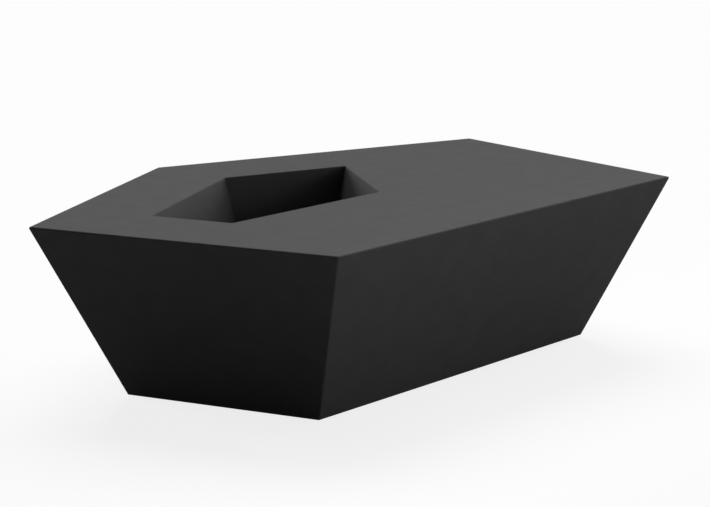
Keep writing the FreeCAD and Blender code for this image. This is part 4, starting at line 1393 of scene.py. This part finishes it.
@dataclass(frozen=True)
class LevellingGlides:
    """Five glides: a nylon pad on a plated stem that screws into a brass insert in the moulding.

    Their sizes are in millimetres, and their levels stand above the floor.
    """
    pad_radius: float = 21.0
    pad_height: float = 10.0
    flute_count: int = 24
    flute_depth: float = 0.7
    flute_start: float = 2.2
    flute_end: float = 6.4
    rim_top: float = 7.0
    gate_depth: float = 0.7
    gate_radius: float = 4.0
    gate_slope: float = 1.0
    top_radius: float = 16.5
    socket_floor: float = 3.0
    socket_roof: float = 6.4
    socket_radius: float = 8.3
    neck_hole: float = 6.3
    disc_radius: float = 8.0
    disc_top: float = 6.0
    neck_radius: float = 6.0
    hex_base: float = 10.5
    hex_top: float = 17.7
    hex_half: float = 7.0
    hex_chamfer: float = 0.1
    hex_chamfer_slope: float = 1.7
    stud_radius: float = 4.0
    stud_end: float = 41.7
    stud_chamfer_width: float = 0.9
    stud_chamfer_height: float = 0.8
    stud_pitch: float = 1.25
    thread_depth: float = 0.75
    thread_lead: float = 0.3
    # The mesh: its rows, the sides of its circles, and how far from the axis the fans start that close its
    # ends
    flute_rows: int = 12
    hex_rows: int = 16
    thread_rows: int = 156
    pad_sides: int = 192
    stem_sides: int = 48
    hub: float = 1.0

    def pad(self, place: str) -> None:
        """Moulds a pad: a sole with a gate mark, a fluted rim, a sloped top and the stem's snap socket.

        Args:
            place: the corner of the base.
        """
        edge, top, low, high = self.pad_radius, self.pad_height, self.flute_start, self.flute_end
        gate, floor, roof = self.gate_radius, self.socket_floor, self.socket_roof
        profile = [
            (self.hub, self.gate_depth, 0), (gate - self.gate_slope, self.gate_depth, 0.4), (gate, 0.0, 0.5),
            (edge, 0.0, 1.6), *levels(low, high, edge, self.flute_rows), (edge, self.rim_top, 0.6),
            (self.top_radius, top, 1.0), (self.neck_hole, top, 0.5), (self.neck_hole, roof, 0.2),
            (self.socket_radius, roof, 0), (self.socket_radius, floor, 0.3), (self.hub, floor, 0)]
        grip = flutes(self.flute_count, self.flute_depth, low, high)
        skin = turned(profile, GLIDE_SPOTS[place], self.pad_sides,
                      lambda a, r, h: grip(a, r, h) * (np.abs(r - edge) < HAIR))
        stand_for(skin.piece(f"moulded_pad_{place}", PAD_NYLON), f"glide_pad_{place}", f"pad_{place}")

    def stem(self, place: str) -> None:
        """Turns a stem: the foot disc, the neck, a chamfered hexagon and the M8 stud.

        Formula: on the hexagon the radius is h / cos((a mod 60) - 30 degrees), but no more than its chamfer
        allows, which grows by its slope for each millimetre from either end.

        Args:
            place: the corner of the base.
        """
        half, base, top = self.hex_half, self.hex_base, self.hex_top
        end, stud = self.stud_end, self.stud_radius
        corner = half / math.cos(math.radians(30))
        thread = helix(self.stud_pitch, self.thread_depth, top + self.thread_lead, end)

        def outline(angle: np.ndarray, radius: np.ndarray, height: np.ndarray) -> np.ndarray:
            """Returns what the hexagon's flats and the thread take off the radius."""
            flat = half / np.cos(np.mod(angle, math.tau / 6) - math.tau / 12)
            from_end = np.minimum(height - base, top - height)
            allowed = half + self.hex_chamfer + self.hex_chamfer_slope * from_end
            on_hexagon = np.abs(radius - corner) < HAIR
            on_stud = (np.abs(radius - stud) < HAIR) & (height > top)
            taken = np.where(on_hexagon, np.minimum(flat, allowed) - radius, 0)
            return taken + thread(angle, radius, height) * on_stud

        disc, neck, low = self.disc_radius, self.neck_radius, self.socket_floor
        profile = [
            (self.hub, low, 0), (disc, low, 0.5), (disc, self.disc_top, 0.5), (neck, self.disc_top, 0.3),
            (neck, base, 0), *levels(base, top, corner, self.hex_rows),
            *levels(top + HAIR, end - self.stud_chamfer_height, stud, self.thread_rows),
            (stud - self.stud_chamfer_width, end, 0.2), (self.hub, end, 0)]
        skin = turned(profile, GLIDE_SPOTS[place], self.stem_sides, outline)
        stand_for(skin.piece(f"turned_stem_{place}", ZINC_PLATE), f"glide_stem_{place}", f"stem_{place}")

    def build(self) -> None:
        """Makes every glide and dresses the inserts."""
        for place in GLIDE_SPOTS:
            self.pad(place)
            self.stem(place)
        dress_nodes({"glide_inserts": TURNED_BRASS})


# The studio

@dataclass(frozen=True)
class SoftLamp:
    """A far, wide softbox, as a sun whose disc is as wide as the box looks from the table."""
    name: str
    azimuth: float
    elevation: float
    strength: float
    width: float
    distance: float = 3.0

    def hang(self) -> None:
        """Makes the lamp shine from its azimuth, in degrees from +X towards +Y, and its elevation."""
        lamp = bpy.data.lights.new(self.name, "SUN")
        lamp.energy, lamp.angle = self.strength, math.radians(self.width)
        holder = put_in_scene(self.name, lamp)
        turn, rise = math.radians(self.azimuth), math.radians(self.elevation)
        towards = Vector((math.cos(turn) * math.cos(rise), math.sin(turn) * math.cos(rise), math.sin(rise)))
        holder.rotation_euler = towards.to_track_quat("Z", "Y").to_euler()
        holder.location = towards * self.distance
        # The softbox lights the table, and only the white room shows in its reflections
        holder.visible_glossy = False
        LOG.info("%s: %.2f from %.0f, %.0f degrees", self.name, self.strength, self.azimuth, self.elevation)


@dataclass(frozen=True)
class NearStrip:
    """A long strip softbox that stands close by, so that a wall fades away from it. It is in metres."""
    name: str
    spot: tuple[float, float, float]
    facing: tuple[float, float, float]
    length: float
    height: float
    power: float

    def hang(self) -> None:
        """Makes the strip at its spot, with its long side level."""
        lamp = bpy.data.lights.new(self.name, "AREA")
        lamp.shape = "RECTANGLE"
        lamp.size, lamp.size_y, lamp.energy = self.length, self.height, self.power
        holder = put_in_scene(self.name, lamp)
        holder.rotation_euler = (-Vector(self.facing)).to_track_quat("Z", "Y").to_euler()
        holder.location = self.spot
        # As the other softboxes, it lights the table and isn't seen itself
        holder.visible_camera = holder.visible_glossy = False
        LOG.info("%s: %.2f W at %s", self.name, self.power, self.spot)


@dataclass(frozen=True)
class Studio:
    """The camera, the pale floor, the white room and the lamps.

    The camera's place is in metres, its angles in degrees and its lens in millimetres. floor_shadow is the
    share of the floor's own shading in its look, and floor_inset is how far in from the deck's outline, in
    millimetres, the part of the floor under the base starts.
    """
    eye: tuple[float, float, float] = (-3.683788, -2.994998, 1.138241)
    heading: float = 38.777
    tilt_down: float = 11.0392
    roll: float = 0.2566
    lens: float = 113.95
    sensor: float = 36.0
    far_end: float = 100.0
    sky: float = 0.0
    floor_half: float = 40000.0
    floor_colour: str = "fafafa"
    floor_shadow: float = 0.18
    floor_bounce: str = "898989"
    floor_inset: float = 160.0
    lamps: tuple[SoftLamp | NearStrip, ...] = (
        SoftLamp("top_softbox", azimuth=45.0, elevation=50.0, strength=2.58, width=40.0),
        SoftLamp("right_strip", azimuth=0.0, elevation=6.0, strength=2.90, width=20.0),
        SoftLamp("right_softbox", azimuth=0.0, elevation=33.0, strength=0.55, width=30.0),
        SoftLamp("back_strip", azimuth=90.0, elevation=6.0, strength=2.95, width=20.0),
        SoftLamp("front_fill", azimuth=-90.0, elevation=6.0, strength=0.26, width=20.0),
        SoftLamp("under_softbox", azimuth=-60.0, elevation=-60.0, strength=2.6, width=50.0),
        NearStrip("front_strip", spot=(0.0, -1.0, 0.62), facing=(0.0, 1.0, -0.25), length=1.6, height=0.3,
                  power=1.45),
    )

    def set_camera(self) -> None:
        """Places the camera from its heading, tilt and roll.

        Formula: forward is the heading turned down by the tilt, right is level and square to it, and the roll
        turns right and up about forward, clockwise as seen from behind the camera.
        """
        heading, tilt, roll = (math.radians(a) for a in (self.heading, self.tilt_down, self.roll))
        forward = Vector((math.cos(heading) * math.cos(tilt), math.sin(heading) * math.cos(tilt),
                          -math.sin(tilt)))
        level = Vector((math.sin(heading), -math.cos(heading), 0.0))
        upright = level.cross(forward)
        right = level * math.cos(roll) - upright * math.sin(roll)
        up = upright * math.cos(roll) + level * math.sin(roll)
        lens = bpy.data.cameras.new("camera")
        lens.lens, lens.sensor_width, lens.clip_end = self.lens, self.sensor, self.far_end
        camera = put_in_scene("camera", lens)
        axes = Matrix((right, up, -forward)).transposed().to_4x4()
        camera.matrix_world = Matrix.Translation(self.eye) @ axes
        bpy.context.scene.camera = camera

    def seen_directly(self, tree: Tree) -> Node:
        """Gives 1 for what the camera, a reflection or glass sees, and 0 for the light that bounces.

        Args:
            tree: the node tree that asks.

        Returns:
            The node that tells.
        """
        path = add_node(tree, "ShaderNodeLightPath").outputs
        mirror = add_node(tree, "ShaderNodeMath", {0: path["Is Glossy Ray"], 1: path["Is Transmission Ray"]},
                          operation="MAXIMUM")
        return add_node(tree, "ShaderNodeMath", {0: path["Is Camera Ray"], 1: mirror}, operation="MAXIMUM")

    def set_sky(self) -> None:
        """Makes the room white where it is seen; the light that it casts is the sky's, which is none."""
        world = bpy.data.worlds.new("studio")
        world.use_nodes = True
        tree = world.node_tree
        tree.nodes.clear()
        lit, white = (add_node(tree, "ShaderNodeBackground", {"Color": linear("ffffff"), "Strength": power})
                      for power in (self.sky, 1.0))
        mix = add_node(tree, "ShaderNodeMixShader", {0: self.seen_directly(tree), 1: lit, 2: white})
        add_node(tree, "ShaderNodeOutputWorld", {"Surface": mix})
        bpy.context.scene.world = world

    def floor_paint(self, name: str, lamps_pass: bool) -> bpy.types.Material:
        """Paints a floor that shows near white, keeps the shadow and bounces a plain grey.

        Args:
            name: the material's name.
            lamps_pass: whether the lamps shine through it, which a view doesn't show.

        Returns:
            The material.
        """
        paint = bpy.data.materials.new(name)
        paint.use_nodes = True
        tree = paint.node_tree
        tree.nodes.clear()
        glow = add_node(tree, "ShaderNodeEmission", {"Color": linear("ffffff"), "Strength": 1.0})
        pale, grey = (add_node(tree, "ShaderNodeBsdfDiffuse", {"Color": linear(colour)})
                      for colour in (self.floor_colour, self.floor_bounce))
        seen = add_node(tree, "ShaderNodeMixShader", {0: self.floor_shadow, 1: glow, 2: pale})
        mix = add_node(tree, "ShaderNodeMixShader", {0: self.seen_directly(tree), 1: grey, 2: seen})
        # Seen from below, the floor is clear, so that the underside can be looked at
        clear = add_node(tree, "ShaderNodeBsdfTransparent")
        open_to = add_node(tree, "ShaderNodeNewGeometry").outputs["Backfacing"]
        if lamps_pass:
            shadow = add_node(tree, "ShaderNodeLightPath").outputs["Is Shadow Ray"]
            open_to = add_node(tree, "ShaderNodeMath", {0: open_to, 1: shadow}, operation="MAXIMUM")
        one_sided = add_node(tree, "ShaderNodeMixShader", {0: open_to, 1: mix, 2: clear})
        add_node(tree, "ShaderNodeOutputMaterial", {"Surface": one_sided})
        return paint

    def lay_floor(self) -> None:
        """Lays a wide pale floor, with a part of its own under the base that lets the lamp below light it."""
        edge = np.array([(-1, -1), (1, -1), (1, 1), (-1, 1)]) * self.floor_half
        base = moved_in(DECK_CORNERS, self.floor_inset)
        for name, outline, holes in (("studio_floor", edge, [base]), ("floor_under_base", base, [])):
            skin = Skin()
            skin.floor(skin.loop(outline, 0.0), [skin.loop(hole, 0.0) for hole in holes])
            floor = put_in_scene(name, skin.mesh(name))
            floor.data.materials.append(self.floor_paint("painted_" + name, lamps_pass=not holes))

    def build(self) -> None:
        """Sets the camera, the light and the floor."""
        bpy.context.scene.view_settings.view_transform = "Standard"
        self.set_camera()
        self.set_sky()
        self.lay_floor()
        for lamp in self.lamps:
            lamp.hang()


def main() -> None:
    """Builds the table's sub-assemblies and the studio in order."""
    logging.basicConfig(level=logging.INFO, format="%(message)s")
    for maker in (TableShell(), Drain(), BasePlate(), LevellingGlides(), Studio()):
        LOG.info("making %s", type(maker).__name__)
        maker.build()


if __name__ == "__main__":
    main()
